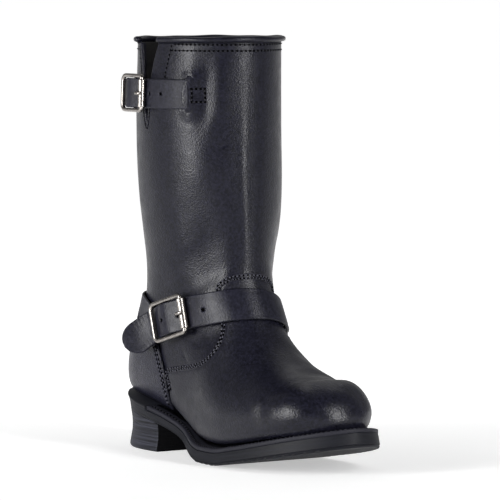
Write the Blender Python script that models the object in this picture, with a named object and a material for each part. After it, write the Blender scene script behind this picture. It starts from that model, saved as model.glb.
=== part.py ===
"""Black pull-on engineer boot, right foot: lasted upper, welted sole, two buckled straps."""
import math
from collections import namedtuple

import bmesh
import bpy
import numpy as np
from mathutils import Vector

# All tables and sizes below are millimetres; x runs from the heel's back to the toe,
# y towards the inner side of the foot, z up from the floor.
MM = 0.001
GAP = 0.3
WALL = 2.4
SOLE_LENGTH = 300.0
HEEL_BREAST = 78.0
TOE_SWING = 7.6
SWING_START = 60.0
WELT_START = 63.0
WELT_THICK = 3.5
WELT_INSET = 1.4
WELT_REACH = 0.32
WELT_TURN = 245.0
SOLE_STATIONS = 27
INSOLE_THICK = 3.0
INSOLE_LIFT = 4.1
VAMP_THICK = 1.5
COUNTER_THICK = 2.2
OVERLAY_LIFT = 0.55
TOE_MARGIN_ROW = 1.8
HEEL_MARGIN_ROW = 12.6
SLIT_ANGLE = 84.0
SLIT_TIP_ROW = 19.65
COLLAR_HALF_WIDTH = 2.95
COLLAR_HEIGHT = 4.6
COLLAR_OUT = 1.76
COLLAR_GAP = 0.55

SoleStation = namedtuple("SoleStation", "x bottom seat")
SOLE_SIDE = [
    SoleStation(0, 36.6, 46.5),
    SoleStation(36, 30.2, 40.5),
    SoleStation(74, 23.6, 34.2),
    SoleStation(98, 17.0, 26.8),
    SoleStation(122, 8.0, 18.6),
    SoleStation(142, 2.6, 14.8),
    SoleStation(154, 0.0, 13.2),
    SoleStation(174, 0.0, 13.4),
    SoleStation(205, 4.4, 18.0),
    SoleStation(232, 9.0, 23.4),
    SoleStation(256, 13.6, 28.7),
    SoleStation(280, 18.6, 34.0),
    SoleStation(300, 23.0, 38.6),
]

PlanStation = namedtuple("PlanStation", "x outer inner")
SOLE_PLAN = [
    PlanStation(0, 0, 0),
    PlanStation(9, 22.2, 22),
    PlanStation(24, 34.4, 34),
    PlanStation(45, 41, 40.6),
    PlanStation(72, 41.2, 40),
    PlanStation(108, 37, 36),
    PlanStation(144, 49.5, 40),
    PlanStation(180, 53.7, 48.3),
    PlanStation(204, 54.3, 52),
    PlanStation(231, 51.6, 52.5),
    PlanStation(258, 43.5, 46.3),
    PlanStation(279, 31.5, 34.8),
    PlanStation(294, 16.8, 18.9),
    PlanStation(300, 0, 0),
]

# Each row is one section of the last, standing on edge across the foot.  It runs from a point
# low or at the back (back_x, rise above the sole) to one on the ridge or front (front_x, front_z);
# outer and inner are the half widths, widest is how far up the section they lie,
# low and top say how square its two halves are, centre is its sideways swing.
Section = namedtuple("Section", "name back_x rise front_x front_z outer inner widest low top centre")
LAST = [
    Section("tip", 284.8, 2.5, 284.8, 38.0, 0, 0, 0.45, 3.0, 2.0, 5.6),
    Section("toe_edge", 281, 0, 286, 45.5, 13, 12.2, 0.50, 3.5, 2.0, 5.5),
    Section("toe_front", 274, 0, 283, 54.3, 24, 22, 0.46, 4.5, 2.1, 5.3),
    Section("toe_box", 264, 0, 275.5, 61.2, 33.5, 31, 0.42, 5.0, 2.2, 5.1),
    Section("toe_top", 250, 0, 262, 67, 41.5, 38.5, 0.40, 5.0, 2.3, 4.9),
    Section("toe_crease", 235, 0, 245.5, 70.8, 46.5, 43.5, 0.39, 5.0, 2.3, 4.6),
    Section("ball_front", 218, 0, 228.5, 73.6, 49.3, 46, 0.38, 5.0, 2.2, 4.2),
    Section("ball", 196, 0, 209.5, 80.3, 50, 46.5, 0.36, 5.0, 2.0, 3.6),
    Section("vamp", 171, 0, 189, 92.6, 49, 44.5, 0.36, 5.0, 1.95, 3.0),
    Section("instep", 144, 0, 174.5, 107.8, 45, 41, 0.38, 5.0, 1.9, 2.3),
    Section("waist", 111, 0, 165, 123.5, 38.7, 39.5, 0.42, 4.5, 1.9, 1.7),
    Section("breast", 76, 0, 160.2, 138, 38, 41, 0.48, 4.0, 1.9, 1.2),
    Section("heel_seat", 42, 0, 159.2, 151, 39, 42.5, 0.52, 4.0, 2.0, 0.9),
    Section("heel_turn", 11.5, 0, 159.5, 162, 39, 44, 0.54, 3.2, 2.0, 0.7),
    Section("heel_back", 6, 20, 160, 173, 39.5, 46, 0.55, 2.6, 2.0, 0.5),
    Section("heel_top", 14, 42, 160.5, 185, 40.5, 47.5, 0.54, 2.2, 2.0, 0.3),
    Section("tendon", 26.5, 66, 161, 199, 42.8, 49.5, 0.53, 2.1, 2.0, 0.2),
    Section("ankle", 32.5, 96, 161.5, 217, 46.8, 51.5, 0.52, 2.0, 2.0, 0.1),
    Section("shaft_low", 32.5, 130, 162, 237, 51.3, 52.6, 0.51, 2.0, 2.0, 0),
    Section("shaft_mid", 30.5, 170, 162.3, 262, 54, 53.2, 0.50, 2.0, 2.0, 0),
    Section("shaft_high", 28, 224, 162.5, 297, 55.3, 53.4, 0.50, 2.0, 2.0, 0),
    Section("collar", 28, 288, 162.5, 332, 53.5, 53.5, 0.50, 2.0, 2.0, 0),
]

SKIN_ROWS = (
    0, 0.3, 0.7, 1.2, 1.8, 2.5, 3.3, 4.1, 5, 6, 7, 8, 8.6, 9.2, 9.8, 10.4, 11.1, 11.8, 12.6, 13.1,
    13.6, 14.2, 14.9, 15.6, 16.4, 17.7, 19, 19.65, 20.15, 20.5, 21,
)

# Half opening of the slit in degrees, from its tip to the collar.
SlitRow = namedtuple("SlitRow", "row half_angle")
SLIT = [SlitRow(19.65, 0.0), SlitRow(20.15, 2.6), SlitRow(20.5, 5.4), SlitRow(21, 13.2)]

# The vamp's rear edge from the sole up to the middle of its tab: degrees round the section, and row.
EdgePoint = namedtuple("EdgePoint", "angle row")
VAMP_EDGE = [
    EdgePoint(48, 10.72),
    EdgePoint(57, 10.92),
    EdgePoint(67, 11.40),
    EdgePoint(77, 10.98),
    EdgePoint(88, 10.58),
    EdgePoint(98, 10.22),
    EdgePoint(107, 9.88),
    EdgePoint(115, 9.67),
    EdgePoint(122, 9.58),
    EdgePoint(128, 9.62),
    EdgePoint(132, 9.78),
    EdgePoint(135, 10.10),
    EdgePoint(136.5, 10.70),
    EdgePoint(137.5, 11.40),
    EdgePoint(139, 11.90),
    EdgePoint(142, 12.14),
    EdgePoint(148, 12.16),
    EdgePoint(155, 12.08),
    EdgePoint(163, 11.97),
    EdgePoint(170, 11.88),
    EdgePoint(176, 11.82),
]
TAB_MIDDLE = 176.0
TAB_FALL = 0.5
VAMP_BENDS = (48.0, 66.0, 124.0, 128.0, 132.0, 135.5, 138.0, 142.5, 150.0, 159.0, 168.0, 176.0)
VAMP_ROWS = SKIN_ROWS[:12]

# Front edge of the counter: height above the heel seat, and x.
CounterLevel = namedtuple("CounterLevel", "height edge_x")
COUNTER = [
    CounterLevel(4.4, 89.0),
    CounterLevel(9, 89.8),
    CounterLevel(17, 90.0),
    CounterLevel(26, 89.4),
    CounterLevel(35, 87.8),
    CounterLevel(43, 85.4),
    CounterLevel(50, 82.2),
    CounterLevel(58, 77.4),
]
COUNTER_LEVELS = (4.4, 5.8, 7.4, 9.5, 13, 19, 27, 35, 43, 51, 58)
COUNTER_COLUMNS = 27
SEAT_FALL = -0.166

SideLevel = namedtuple("SideLevel", "height heel_inset fore_inset")
OUTSOLE_SIDE = [
    SideLevel(0.00, 1.8, 1.6),
    SideLevel(0.10, 1.7, 0.3),
    SideLevel(0.34, 1.5, 0.0),
    SideLevel(0.38, 1.5, 0.7),
    SideLevel(0.44, 1.4, 0.7),
    SideLevel(0.48, 1.3, 0.3),
    SideLevel(0.80, 0.6, 0.9),
    SideLevel(0.90, 0.1, 1.1),
    SideLevel(1.00, 0.3, 1.3),
]
HeelLevel = namedtuple("HeelLevel", "height inset pitch")
HEEL_SIDE = [
    HeelLevel(0.00, 1.6, 2.2),
    HeelLevel(0.05, 0.9, 2.2),
    HeelLevel(0.22, 1.4, 2.7),
    HeelLevel(0.45, 2.2, 3.0),
    HeelLevel(0.70, 2.4, 2.2),
    HeelLevel(0.88, 2.1, 1.0),
    HeelLevel(1.00, 1.9, 0.4),
]

# Straps lie in a plane across the boot: height of its middle at x = 0, and slope along x.
StrapPlane = namedtuple("StrapPlane", "height slope half_width thick")
INSTEP_PLANE = StrapPlane(88.0, 0.225, 12.9, 2.6)
INSTEP_CHAPE_PLANE = StrapPlane(119.0, -0.07, 11.0, 1.8)
TOP_PLANE = StrapPlane(290.9, 0.0, 11.8, 2.6)
TOP_CHAPE_PLANE = StrapPlane(290.9, 0.0, 10.0, 1.8)

# A buckle: middle of its frame, its turn round z, its slope along the strap and its lean in degrees,
# half length and half width between bar middles, bar radius, roller radius, drop of the middle bar.
Buckle = namedtuple("Buckle", "x y z turn slope lean half_long half_wide bar roller drop")
INSTEP_BUCKLE = Buckle(107.5, -47.2, 110.9, 10.0, 17.0, 3.0, 18.6, 15.0, 1.7, 3.3, 3.4)
TOP_BUCKLE = Buckle(78.4, -62.2, 290.9, 0.0, 0.0, 2.0, 14.3, 13.8, 1.6, 2.9, 3.4)
CORNER = 4.5
MIDDLE_BAR = 1.4
PRONG_RADIUS = 1.3
PRONG_LANE = 2.2

# Where each strap lies on the boot: degrees round the section, lift off the last, drop below its plane.
OnBoot = namedtuple("OnBoot", "angle lift drop")
INSTEP_ON_BOOT = [
    OnBoot(272, 1.0, 12.0),
    OnBoot(264, 1.0, 12.8),
    OnBoot(255, 1.0, 13.0),
    OnBoot(244, 1.6, 12.5),
    OnBoot(232, 2.6, 11.5),
    OnBoot(221, 3.0, 9.5),
    OnBoot(210, 3.0, 7.2),
    OnBoot(200, 3.0, 5.2),
    OnBoot(190, 3.0, 3.6),
    OnBoot(180, 3.0, 2.4),
    OnBoot(170, 3.0, 1.5),
    OnBoot(160, 3.0, 0.8),
    OnBoot(150, 3.0, 0.3),
    OnBoot(141, 3.0, 0.0),
    OnBoot(132, 3.0, 0.0),
    OnBoot(124, 3.0, 0.0),
]
TOP_ON_BOOT = [OnBoot(125, 0.5, 0), OnBoot(118, 0.6, 0), OnBoot(111, 0.7, 0), OnBoot(104, 0.8, 0)]
INSTEP_CHAPE_ON_BOOT = [OnBoot(a, 1.3, 0) for a in (60, 48, 36, 24, 12, 0, -12, -24, -36)]
INSTEP_CHAPE_ON_BOOT += [OnBoot(-48, 1.3, 0.5), OnBoot(-60, 1.3, 1.8), OnBoot(-72, 1.3, 4.2), OnBoot(-81, 1.3, 7.0)]
TOP_CHAPE_ON_BOOT = [OnBoot(a, 0.6, 0) for a in (42, 33, 24, 15)]

# Where each strap runs in its buckle: along the strap from the middle bar, out from the frame's
# plane to the strap's inner face, drift across, and lean of the strap's width in degrees.
InBuckle = namedtuple("InBuckle", "along out across lean")
INSTEP_IN_BUCKLE = [
    InBuckle(24.5, -6.5, 0, 0),
    InBuckle(18.6, -6.3, 0, 0),
    InBuckle(9.3, -2.7, 0, 0),
    InBuckle(0, 0.5, 0, 0),
    InBuckle(-7, -0.8, 0, 0),
    InBuckle(-13, -3.6, 0, 0),
    InBuckle(-18.6, -5.5, 0, 0),
    InBuckle(-26, -5.4, -1.0, 4),
    InBuckle(-37, -0.8, -5.6, 14),
    InBuckle(-49, 6.5, -12.0, 20),
]
TOP_IN_BUCKLE = [
    InBuckle(23, -6.2, 0, 0),
    InBuckle(14.3, -5.9, 0, 0),
    InBuckle(7.2, -2.6, 0, 0),
    InBuckle(0, 0.4, 0, 0),
    InBuckle(-5.5, -0.7, 0, 0),
    InBuckle(-10, -3.5, 0, 0),
    InBuckle(-14.3, -5.3, 0, 0),
    InBuckle(-21, -6.8, 0, 0),
]
CHAPE_LOOP = [(-6, -1.9), (-3, -1.75), (0, -1.72), (1.22, -1.22), (1.72, 0), (1.22, 1.22), (0, 1.72)]
INSTEP_CHAPE_TAIL = [
    InBuckle(-5, -2.4, 0, 0),
    InBuckle(-11, -5.0, 0, 0),
    InBuckle(-18.6, -8.6, 1.6, -8),
    InBuckle(-27, -10.6, 4.8, -16),
]
TOP_CHAPE_TAIL = [
    InBuckle(-4, -2.3, 0, 0),
    InBuckle(-9, -5.7, 0, 0),
    InBuckle(-14.3, -7.9, 0, 0),
    InBuckle(-21, -10.2, 0, 0),
]
# Narrowing of the instep strap's free end: distance from its tip, and share of the full width.
TipWidth = namedtuple("TipWidth", "from_tip share")
INSTEP_TIP = [TipWidth(0, 0.30), TipWidth(1.5, 0.55), TipWidth(4, 0.78), TipWidth(8, 0.93), TipWidth(13, 1.0)]

BLACK_LEATHER = (0.012, 0.012, 0.014, 1.0)
BLACK_RUBBER = (0.014, 0.014, 0.015, 1.0)
TAN_BOARD = (0.30, 0.22, 0.14, 1.0)
NICKEL = (0.62, 0.61, 0.58, 1.0)


def monotone(xs, ys, query):
    """Smooth curve through a table that never overshoots it."""
    xs = np.asarray(xs, float)
    ys = np.asarray(ys, float)
    step = np.diff(xs)
    slope = np.diff(ys) / step
    tangent = np.zeros_like(ys)
    before = slope[:-1]
    after = slope[1:]
    weight_a = 2 * step[1:] + step[:-1]
    weight_b = step[1:] + 2 * step[:-1]
    same = before * after > 0
    safe_before = np.where(same, before, 1.0)
    safe_after = np.where(same, after, 1.0)
    mean = (weight_a + weight_b) / (weight_a / safe_before + weight_b / safe_after)
    tangent[1:-1] = np.where(same, mean, 0.0)
    tangent[0] = slope[0]
    tangent[-1] = slope[-1]
    q = np.clip(np.asarray(query, float), xs[0], xs[-1])
    i = np.clip(np.searchsorted(xs, q, side="right") - 1, 0, len(xs) - 2)
    f = (q - xs[i]) / step[i]
    rise = ys[i + 1] - ys[i]
    start = tangent[i] * step[i]
    end = tangent[i + 1] * step[i]
    return ys[i] + f * start + f**2 * (3 * rise - 2 * start - end) + f**3 * (start + end - 2 * rise)


def seat(x):
    return monotone([s.x for s in SOLE_SIDE], [s.seat for s in SOLE_SIDE], x)


def sole_bottom(x):
    return monotone([s.x for s in SOLE_SIDE], [s.bottom for s in SOLE_SIDE], x)


def swing(x):
    run = np.clip((np.asarray(x, float) - SWING_START) / (SOLE_LENGTH - SWING_START), 0, None)
    return TOE_SWING * run**1.3


def outer_half(x):
    return monotone([s.x for s in SOLE_PLAN], [s.outer for s in SOLE_PLAN], x)


def inner_half(x):
    return monotone([s.x for s in SOLE_PLAN], [s.inner for s in SOLE_PLAN], x)


def last_table():
    rows = []
    for s in LAST:
        back_z = float(seat(s.back_x)) + GAP + s.rise
        rows.append((s.back_x, back_z, s.front_x, s.front_z, s.outer, s.inner,
                     s.widest, s.low, s.top, s.centre))
    table = np.array(rows)
    table[0, 3] = table[0, 1]
    before = table[1].copy()
    before[:4] = table[1][[2, 3, 0, 1]]
    before[4:6] = -table[1][4:6]
    after = 2 * table[-1] - table[-2]
    return np.vstack([before, table, after])


LAST_TABLE = last_table()
LAST_ROW = len(LAST) - 1


def section_at(row):
    row = np.asarray(row, float)
    i = np.clip(np.floor(row).astype(int), 0, LAST_ROW - 1)
    f = (row - i)[..., None]
    a, b, c, d = (LAST_TABLE[i + k] for k in range(4))
    return 0.5 * (2 * b + (c - a) * f + (2 * a - 5 * b + 4 * c - d) * f**2
                  + (3 * b - a - 3 * c + d) * f**3)


def form(row, angle):
    """Point of the last's surface; angle 0 is low or back, 90 outer side, 180 ridge or front."""
    row, turn = np.broadcast_arrays(np.asarray(row, float), np.radians(np.asarray(angle, float)))
    s = section_at(row)
    across = np.sin(turn)
    along = -np.cos(turn)
    power = np.where(along < 0, s[..., 7], s[..., 8])
    reach = (np.abs(across) ** power + np.abs(along) ** power) ** (-1 / power)
    half = np.where(across > 0, s[..., 4], s[..., 5])
    y = s[..., 9] - half * across * reach
    widest = s[..., 6]
    part = widest + np.where(along < 0, widest, 1 - widest) * along * reach
    x = s[..., 0] + (s[..., 2] - s[..., 0]) * part
    z = s[..., 1] + (s[..., 3] - s[..., 1]) * part
    z = np.maximum(z, seat(x) + GAP)
    return np.stack([x, y, z], -1)


def skin(row, angle, lift=0.0):
    """Point that stands off the last's surface by lift, along its outward normal."""
    row, angle = np.broadcast_arrays(np.asarray(row, float), np.asarray(angle, float))
    place = form(row, angle)
    near = np.clip(row, 0.06, LAST_ROW - 0.03)
    along = form(near + 0.03, angle) - form(near - 0.03, angle)
    round_ = form(near, angle + 0.6) - form(near, angle - 0.6)
    normal = np.cross(round_, along)
    normal /= np.linalg.norm(normal, axis=-1, keepdims=True) + 1e-12
    place = place + normal * np.asarray(lift, float)[..., None]
    place[..., 2] = np.maximum(place[..., 2], seat(place[..., 0]) + GAP)
    return place


def row_on_plane(angle, height, slope, low=8.0, high=21.0):
    """Row where the last crosses the plane z = height + slope * x, at each angle."""
    angle = np.asarray(angle, float)
    under = np.full(angle.shape, low)
    over = np.full(angle.shape, high)
    for _ in range(40):
        middle = (under + over) / 2
        p = form(middle, angle)
        below = p[..., 2] < height + slope * p[..., 0]
        under = np.where(below, middle, under)
        over = np.where(below, over, middle)
    return (under + over) / 2


def material(name, colour, roughness, metallic=0.0):
    made = bpy.data.materials.new(name)
    made.use_nodes = True
    shader = made.node_tree.nodes["Principled BSDF"]
    shader.inputs["Base Color"].default_value = colour
    shader.inputs["Roughness"].default_value = roughness
    shader.inputs["Metallic"].default_value = metallic
    made.diffuse_color = colour
    return made


def add_object(name, points, faces, finish):
    mesh = bpy.data.meshes.new(name)
    mesh.from_pydata([tuple(float(c) * MM for c in p) for p in points], [], faces)
    body = bmesh.new()
    body.from_mesh(mesh)
    bmesh.ops.recalc_face_normals(body, faces=body.faces)
    loose = [v for v in body.verts if not v.link_faces]
    bmesh.ops.delete(body, geom=loose, context="VERTS")
    body.to_mesh(mesh)
    body.free()
    for polygon in mesh.polygons:
        polygon.use_smooth = True
    made = bpy.data.objects.new(name, mesh)
    made.data.materials.append(finish)
    bpy.context.scene.collection.objects.link(made)
    return made


def closed_shell(name, outside, inside, faces, finish):
    """Body between two matching sheets, closed along every free edge."""
    count = len(outside)
    used = set()
    for face in faces:
        for a, b in zip(face, face[1:] + face[:1]):
            used.add((a, b))
    rim = [(b, a, a + count, b + count) for a, b in used if (b, a) not in used]
    back = [tuple(reversed([i + count for i in face])) for face in faces]
    rim.sort()
    return add_object(name, list(outside) + list(inside), list(faces) + back + rim, finish)


def grid_faces(rows, columns, keep=None, index=None):
    """Quads of a grid, with triangles where two corners fall together."""
    faces = []
    for i in range(rows - 1):
        for j in range(columns - 1):
            if keep is not None and not keep(i, j):
                continue
            corners = [(i, j), (i, j + 1), (i + 1, j + 1), (i + 1, j)]
            ids = []
            for r, c in corners:
                k = index(r, c) if index else r * columns + c
                if k not in ids:
                    ids.append(k)
            faces.append(tuple(ids))
    return faces


def stacked(name, rings, finish):
    """Body of rings laid one on another; each ring is heel to toe along the outer side and back."""
    count = len(rings[0])
    half = count // 2
    points = [p for ring in rings for p in ring]
    faces = []
    for level in range(len(rings) - 1):
        base = level * count
        for i in range(count):
            j = (i + 1) % count
            faces.append((base + i, base + j, base + count + j, base + count + i))
    for base in (0, (len(rings) - 1) * count):
        for i in range(half - 1):
            quad = (base + i, base + i + 1, base + count - 2 - i, base + count - 1 - i)
            faces.append(quad)
    return add_object(name, points, faces, finish)


def ease(x, start, end):
    f = np.clip((np.asarray(x, float) - start) / (end - start), 0, 1)
    return f * f * (3 - 2 * f)


def sole_stations(count):
    """x places along the sole, closer together at its two round ends, with both ends of its flat spot."""
    turn = np.linspace(0.045 * math.pi, 0.962 * math.pi, count)
    x = SOLE_LENGTH * (1 - np.cos(turn)) / 2
    flat = [s.x for s in SOLE_SIDE if s.bottom == 0]
    near_flat = np.min([np.abs(x - f) for f in flat], axis=0) < 4
    return np.sort(np.concatenate([x[~near_flat], flat, [WELT_START - 1.4, WELT_START - 0.4]]))


def sole_ring(x, inset, z):
    """Closed outline at the given inset: heel to toe along the outer side, then back."""
    middle = SOLE_LENGTH / 2
    shrink = 1 - np.asarray(inset) / middle
    place = middle + (x - middle) * shrink
    outer = swing(x) - np.maximum(outer_half(x) - inset, 1.0)
    inner = swing(x) + np.maximum(inner_half(x) - inset, 1.0)
    side_a = np.stack([place, outer, z], -1)
    side_b = np.stack([place, inner, z], -1)[::-1]
    return np.concatenate([side_a, side_b])


def build_outsole(finish):
    x = sole_stations(SOLE_STATIONS)
    low = sole_bottom(x)
    high = seat(x) - np.where(x > WELT_START - 1.0, WELT_THICK + GAP + 0.15, 0.0)
    fore = ease(x, 50, 110)
    rings = []
    for level in OUTSOLE_SIDE:
        inset = level.heel_inset * (1 - fore) + level.fore_inset * fore
        rings.append(sole_ring(x, inset, low + (high - low) * level.height))
    return stacked("outsole", rings, finish)


def build_heel(finish):
    turn = np.linspace(0.09 * math.pi, 0.5 * math.pi, 13)
    x = HEEL_BREAST * (1 - np.cos(turn))
    top = sole_bottom(x) - GAP
    rings = []
    for level in HEEL_SIDE:
        place = level.inset + level.pitch * (1 - x / HEEL_BREAST) + x * (1 - level.inset / HEEL_BREAST)
        outer = -np.maximum(outer_half(x) - level.inset, 1.0)
        inner = np.maximum(inner_half(x) - level.inset, 1.0)
        z = top * level.height
        side_a = np.stack([place, outer, z], -1)
        side_b = np.stack([place, inner, z], -1)[::-1]
        rings.append(np.concatenate([side_a, side_b]))
    return stacked("heel", rings, finish)


def build_welt(finish):
    x = sole_stations(SOLE_STATIONS)
    x = np.concatenate([[WELT_START + 0.3], x[x > WELT_START + 4]])
    edge = sole_ring(x, np.full(x.shape, WELT_INSET), seat(x))
    middle = np.concatenate([swing(x), swing(x)[::-1]])
    deep = edge.copy()
    deep[:, 0] -= WELT_REACH * np.maximum(edge[:, 0] - WELT_TURN, 0)
    deep[:, 1] -= WELT_REACH * (edge[:, 1] - middle)
    deep[:, 2] = seat(deep[:, 0])
    edge[:, 2] = seat(edge[:, 0])
    top = np.concatenate([edge, deep])
    count = len(edge)
    faces = [(i, i + 1, count + i + 1, count + i) for i in range(count - 1)]
    under = top - np.array([0, 0, WELT_THICK])
    return closed_shell("welt", top, under, faces, finish)


def insole_outline(rows, height):
    """Both edges of the space inside the upper, at a height above the sole."""
    angles = np.linspace(8, 88, 81)
    edges = []
    for side in (1, -1):
        line = []
        for row in rows:
            p = skin(np.full(angles.shape, row), side * angles, np.full(angles.shape, -(WALL + 1.5)))
            above = p[:, 2] - seat(p[:, 0])
            line.append([np.interp(height, above, p[:, 0]), np.interp(height, above, p[:, 1])])
        edges.append(np.array(line))
    return np.stack([edges[0], (edges[0] + edges[1]) / 2, edges[1]], 1)


def build_insole(finish):
    rows = np.concatenate([[1.8, 2.2], np.arange(2.8, 12.0, 0.7), [12.2, 12.6]])
    faces = grid_faces(len(rows), 3)
    sheets = []
    for lift in (INSOLE_LIFT, INSOLE_LIFT + INSOLE_THICK):
        flat = insole_outline(rows, lift + 0.6)
        sheet = np.concatenate([flat, (seat(flat[..., 0]) + lift)[..., None]], -1)
        sheets.append(sheet.reshape(-1, 3))
    return closed_shell("insole", sheets[1], sheets[0], faces, finish)


def slit_half(row):
    return np.interp(row, [s.row for s in SLIT], [s.half_angle for s in SLIT])


def skin_columns():
    """Angles round the upper, from one lip of the slit to the other."""
    spans = [(0, 96, 8), (96, 192, 8), (192, 240, 4), (240, 312, 6), (312, 360, 4)]
    parts = [np.linspace(a, b, n, endpoint=False) for a, b, n in spans]
    return np.concatenate(parts + [[360.0]])


def slit_angle(row, turn):
    """Angle of a column once the slit has pushed its neighbours apart."""
    half = slit_half(row)
    from_lip = np.minimum(turn, 360 - turn)
    push = half * np.clip(1 - from_lip / 48.0, 0, 1)
    return SLIT_ANGLE + turn + np.where(turn < 180, push, -push)


def build_upper(finish):
    rows = np.array(SKIN_ROWS, float)
    turn = skin_columns()
    columns = len(turn)
    grid_row = np.repeat(rows[:, None], columns, 1)
    grid_angle = slit_angle(grid_row, np.repeat(turn[None], len(rows), 0))
    outside = skin(grid_row, grid_angle).reshape(-1, 3)
    inside = skin(grid_row, grid_angle, np.full(grid_row.shape, -WALL)).reshape(-1, 3)
    first_open = int(np.argmin(np.abs(rows - TOE_MARGIN_ROW)))
    last_open = int(np.argmin(np.abs(rows - HEEL_MARGIN_ROW)))
    tip = int(np.argmin(np.abs(rows - SLIT_TIP_ROW)))

    def keep(i, j):
        under_foot = 240 <= turn[j] < 312
        return not (under_foot and first_open <= i < last_open)

    def index(i, j):
        if i == 0:
            return 0
        if j == columns - 1 and i <= tip:
            j = 0
        return i * columns + j

    return closed_shell("upper", outside, inside, grid_faces(len(rows), columns, keep, index), finish)


def vamp_edge():
    """Whole rear edge of the vamp, outer side first, at the upper's own columns and at its bends."""
    angle = np.array([e.angle for e in VAMP_EDGE])
    row = np.array([e.row for e in VAMP_EDGE])
    columns = np.sort((SLIT_ANGLE + skin_columns()[:-1]) % 360)
    half = np.array(sorted(set(columns[(columns > angle[0]) & (columns < 130)]) | set(VAMP_BENDS)))
    other = np.where(half > 130, 2 * TAB_MIDDLE - half, 360 - half)
    half_row = np.interp(half, angle, row)
    middle = (half < TAB_MIDDLE - 0.5).sum()
    inner_row = half_row - TAB_FALL * ease(half, 122, 140) * (TAB_MIDDLE - half) / 32
    return (np.concatenate([half, other[:middle][::-1]]),
            np.concatenate([half_row, inner_row[:middle][::-1]]))


def build_vamp(finish):
    angle, row = vamp_edge()
    fixed = np.array(VAMP_ROWS)
    steps = np.array([0.25, 0.5, 0.75, 1.0])
    on_way = fixed[-1] + (row[None] - fixed[-1]) * steps[:, None]
    grid_row = np.concatenate([np.repeat(fixed[:, None], len(row), 1), on_way])
    grid_angle = np.repeat(angle[None], len(grid_row), 0)
    columns = len(angle)
    low = np.full(grid_row.shape, OVERLAY_LIFT)
    inside = skin(grid_row, grid_angle, low).reshape(-1, 3)
    outside = skin(grid_row, grid_angle, low + VAMP_THICK).reshape(-1, 3)

    def index(i, j):
        return 0 if i == 0 else i * columns + j

    faces = grid_faces(len(grid_row), columns, None, index)
    return closed_shell("vamp", outside, inside, faces, finish)


def counter_grid(level_heights, columns):
    """Angles and rows of the counter, level by level, from its outer front edge to its inner one."""
    half_turn = np.linspace(0, 120, 121)
    rows = []
    angles = []
    top = [c.height for c in COUNTER]
    edge = [c.edge_x for c in COUNTER]
    for height in level_heights:
        edge_x = np.interp(height, top, edge)
        limits = []
        for side in (1, -1):
            row = row_on_plane(side * half_turn, float(seat(0)) + height, SEAT_FALL, 9.5, 18.0)
            x = form(row, side * half_turn)[:, 0]
            limits.append(side * np.interp(edge_x, x, half_turn))
        angle = np.linspace(limits[0], limits[1], columns)
        angles.append(angle)
        rows.append(row_on_plane(angle, float(seat(0)) + height, SEAT_FALL, 9.5, 18.0))
    return np.array(rows), np.array(angles)


def build_counter(finish):
    rows, angles = counter_grid(COUNTER_LEVELS, COUNTER_COLUMNS)
    low = np.full(rows.shape, OVERLAY_LIFT + 0.3)
    inside = skin(rows, angles, low).reshape(-1, 3)
    outside = skin(rows, angles, low + COUNTER_THICK).reshape(-1, 3)
    return closed_shell("counter", outside, inside, grid_faces(*rows.shape), finish)


def build_collar(finish):
    """Rolled binding that lies on the rim, from one lip of the slit round to the other."""
    turn = np.linspace(0, 360, 31)
    row = np.full(turn.shape, float(LAST_ROW))
    angle = slit_angle(row, turn)
    rim = skin(row, angle, np.full(turn.shape, -WALL / 2))
    rim_out = skin(row, angle, np.full(turn.shape, 1.0))
    out = rim_out - rim
    out[:, 2] = 0
    out /= np.linalg.norm(out, axis=1, keepdims=True)
    ring = np.linspace(0, 2 * math.pi, 9)[:-1]
    points = []
    for p, o in zip(rim, out):
        for a in ring:
            side = COLLAR_OUT + COLLAR_HALF_WIDTH * math.cos(a)
            up = COLLAR_GAP + COLLAR_HEIGHT * (0.5 + 0.5 * math.sin(a))
            points.append(p + o * side + np.array([0, 0, up]))
    count = len(ring)
    faces = []
    for i in range(len(turn) - 1):
        for j in range(count):
            k = (j + 1) % count
            faces.append((i * count + j, i * count + k, (i + 1) * count + k, (i + 1) * count + j))
    faces.append(tuple(range(count)))
    faces.append(tuple(range((len(turn) - 1) * count, len(turn) * count)))
    return add_object("collar_binding", points, faces, finish)


def buckle_axes(buckle):
    """Middle of a buckle, with its along-strap, across-strap and outward directions."""
    turn = math.radians(buckle.turn)
    slope = math.radians(buckle.slope)
    lean = math.radians(buckle.lean)
    flat = np.array([math.cos(turn), math.sin(turn), 0.0])
    out = np.array([math.sin(turn), -math.cos(turn), 0.0])
    up = np.array([0.0, 0.0, 1.0])
    along = flat * math.cos(slope) + up * math.sin(slope)
    across = up * math.cos(slope) - flat * math.sin(slope)
    leaning = across * math.cos(lean) - out * math.sin(lean)
    outward = out * math.cos(lean) + across * math.sin(lean)
    return np.array([buckle.x, buckle.y, buckle.z]), along, leaning, outward


def in_buckle(buckle, along, out, across=0.0):
    middle, e_along, e_across, e_out = buckle_axes(buckle)
    return middle + e_along * along + e_out * out + e_across * across


def smooth_path(points, step):
    """Even curve through the given points."""
    points = np.asarray(points, float)
    padded = np.vstack([2 * points[0] - points[1], points, 2 * points[-1] - points[-2]])
    path = []
    for i in range(len(points) - 1):
        a, b, c, d = padded[i:i + 4]
        pieces = max(1, int(round(np.linalg.norm(c[:3] - b[:3]) / step)))
        for k in range(pieces):
            f = k / pieces
            path.append(0.5 * (2 * b + (c - a) * f + (2 * a - 5 * b + 4 * c - d) * f**2
                               + (3 * b - a - 3 * c + d) * f**3))
    path.append(points[-1])
    return np.array(path)


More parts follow.
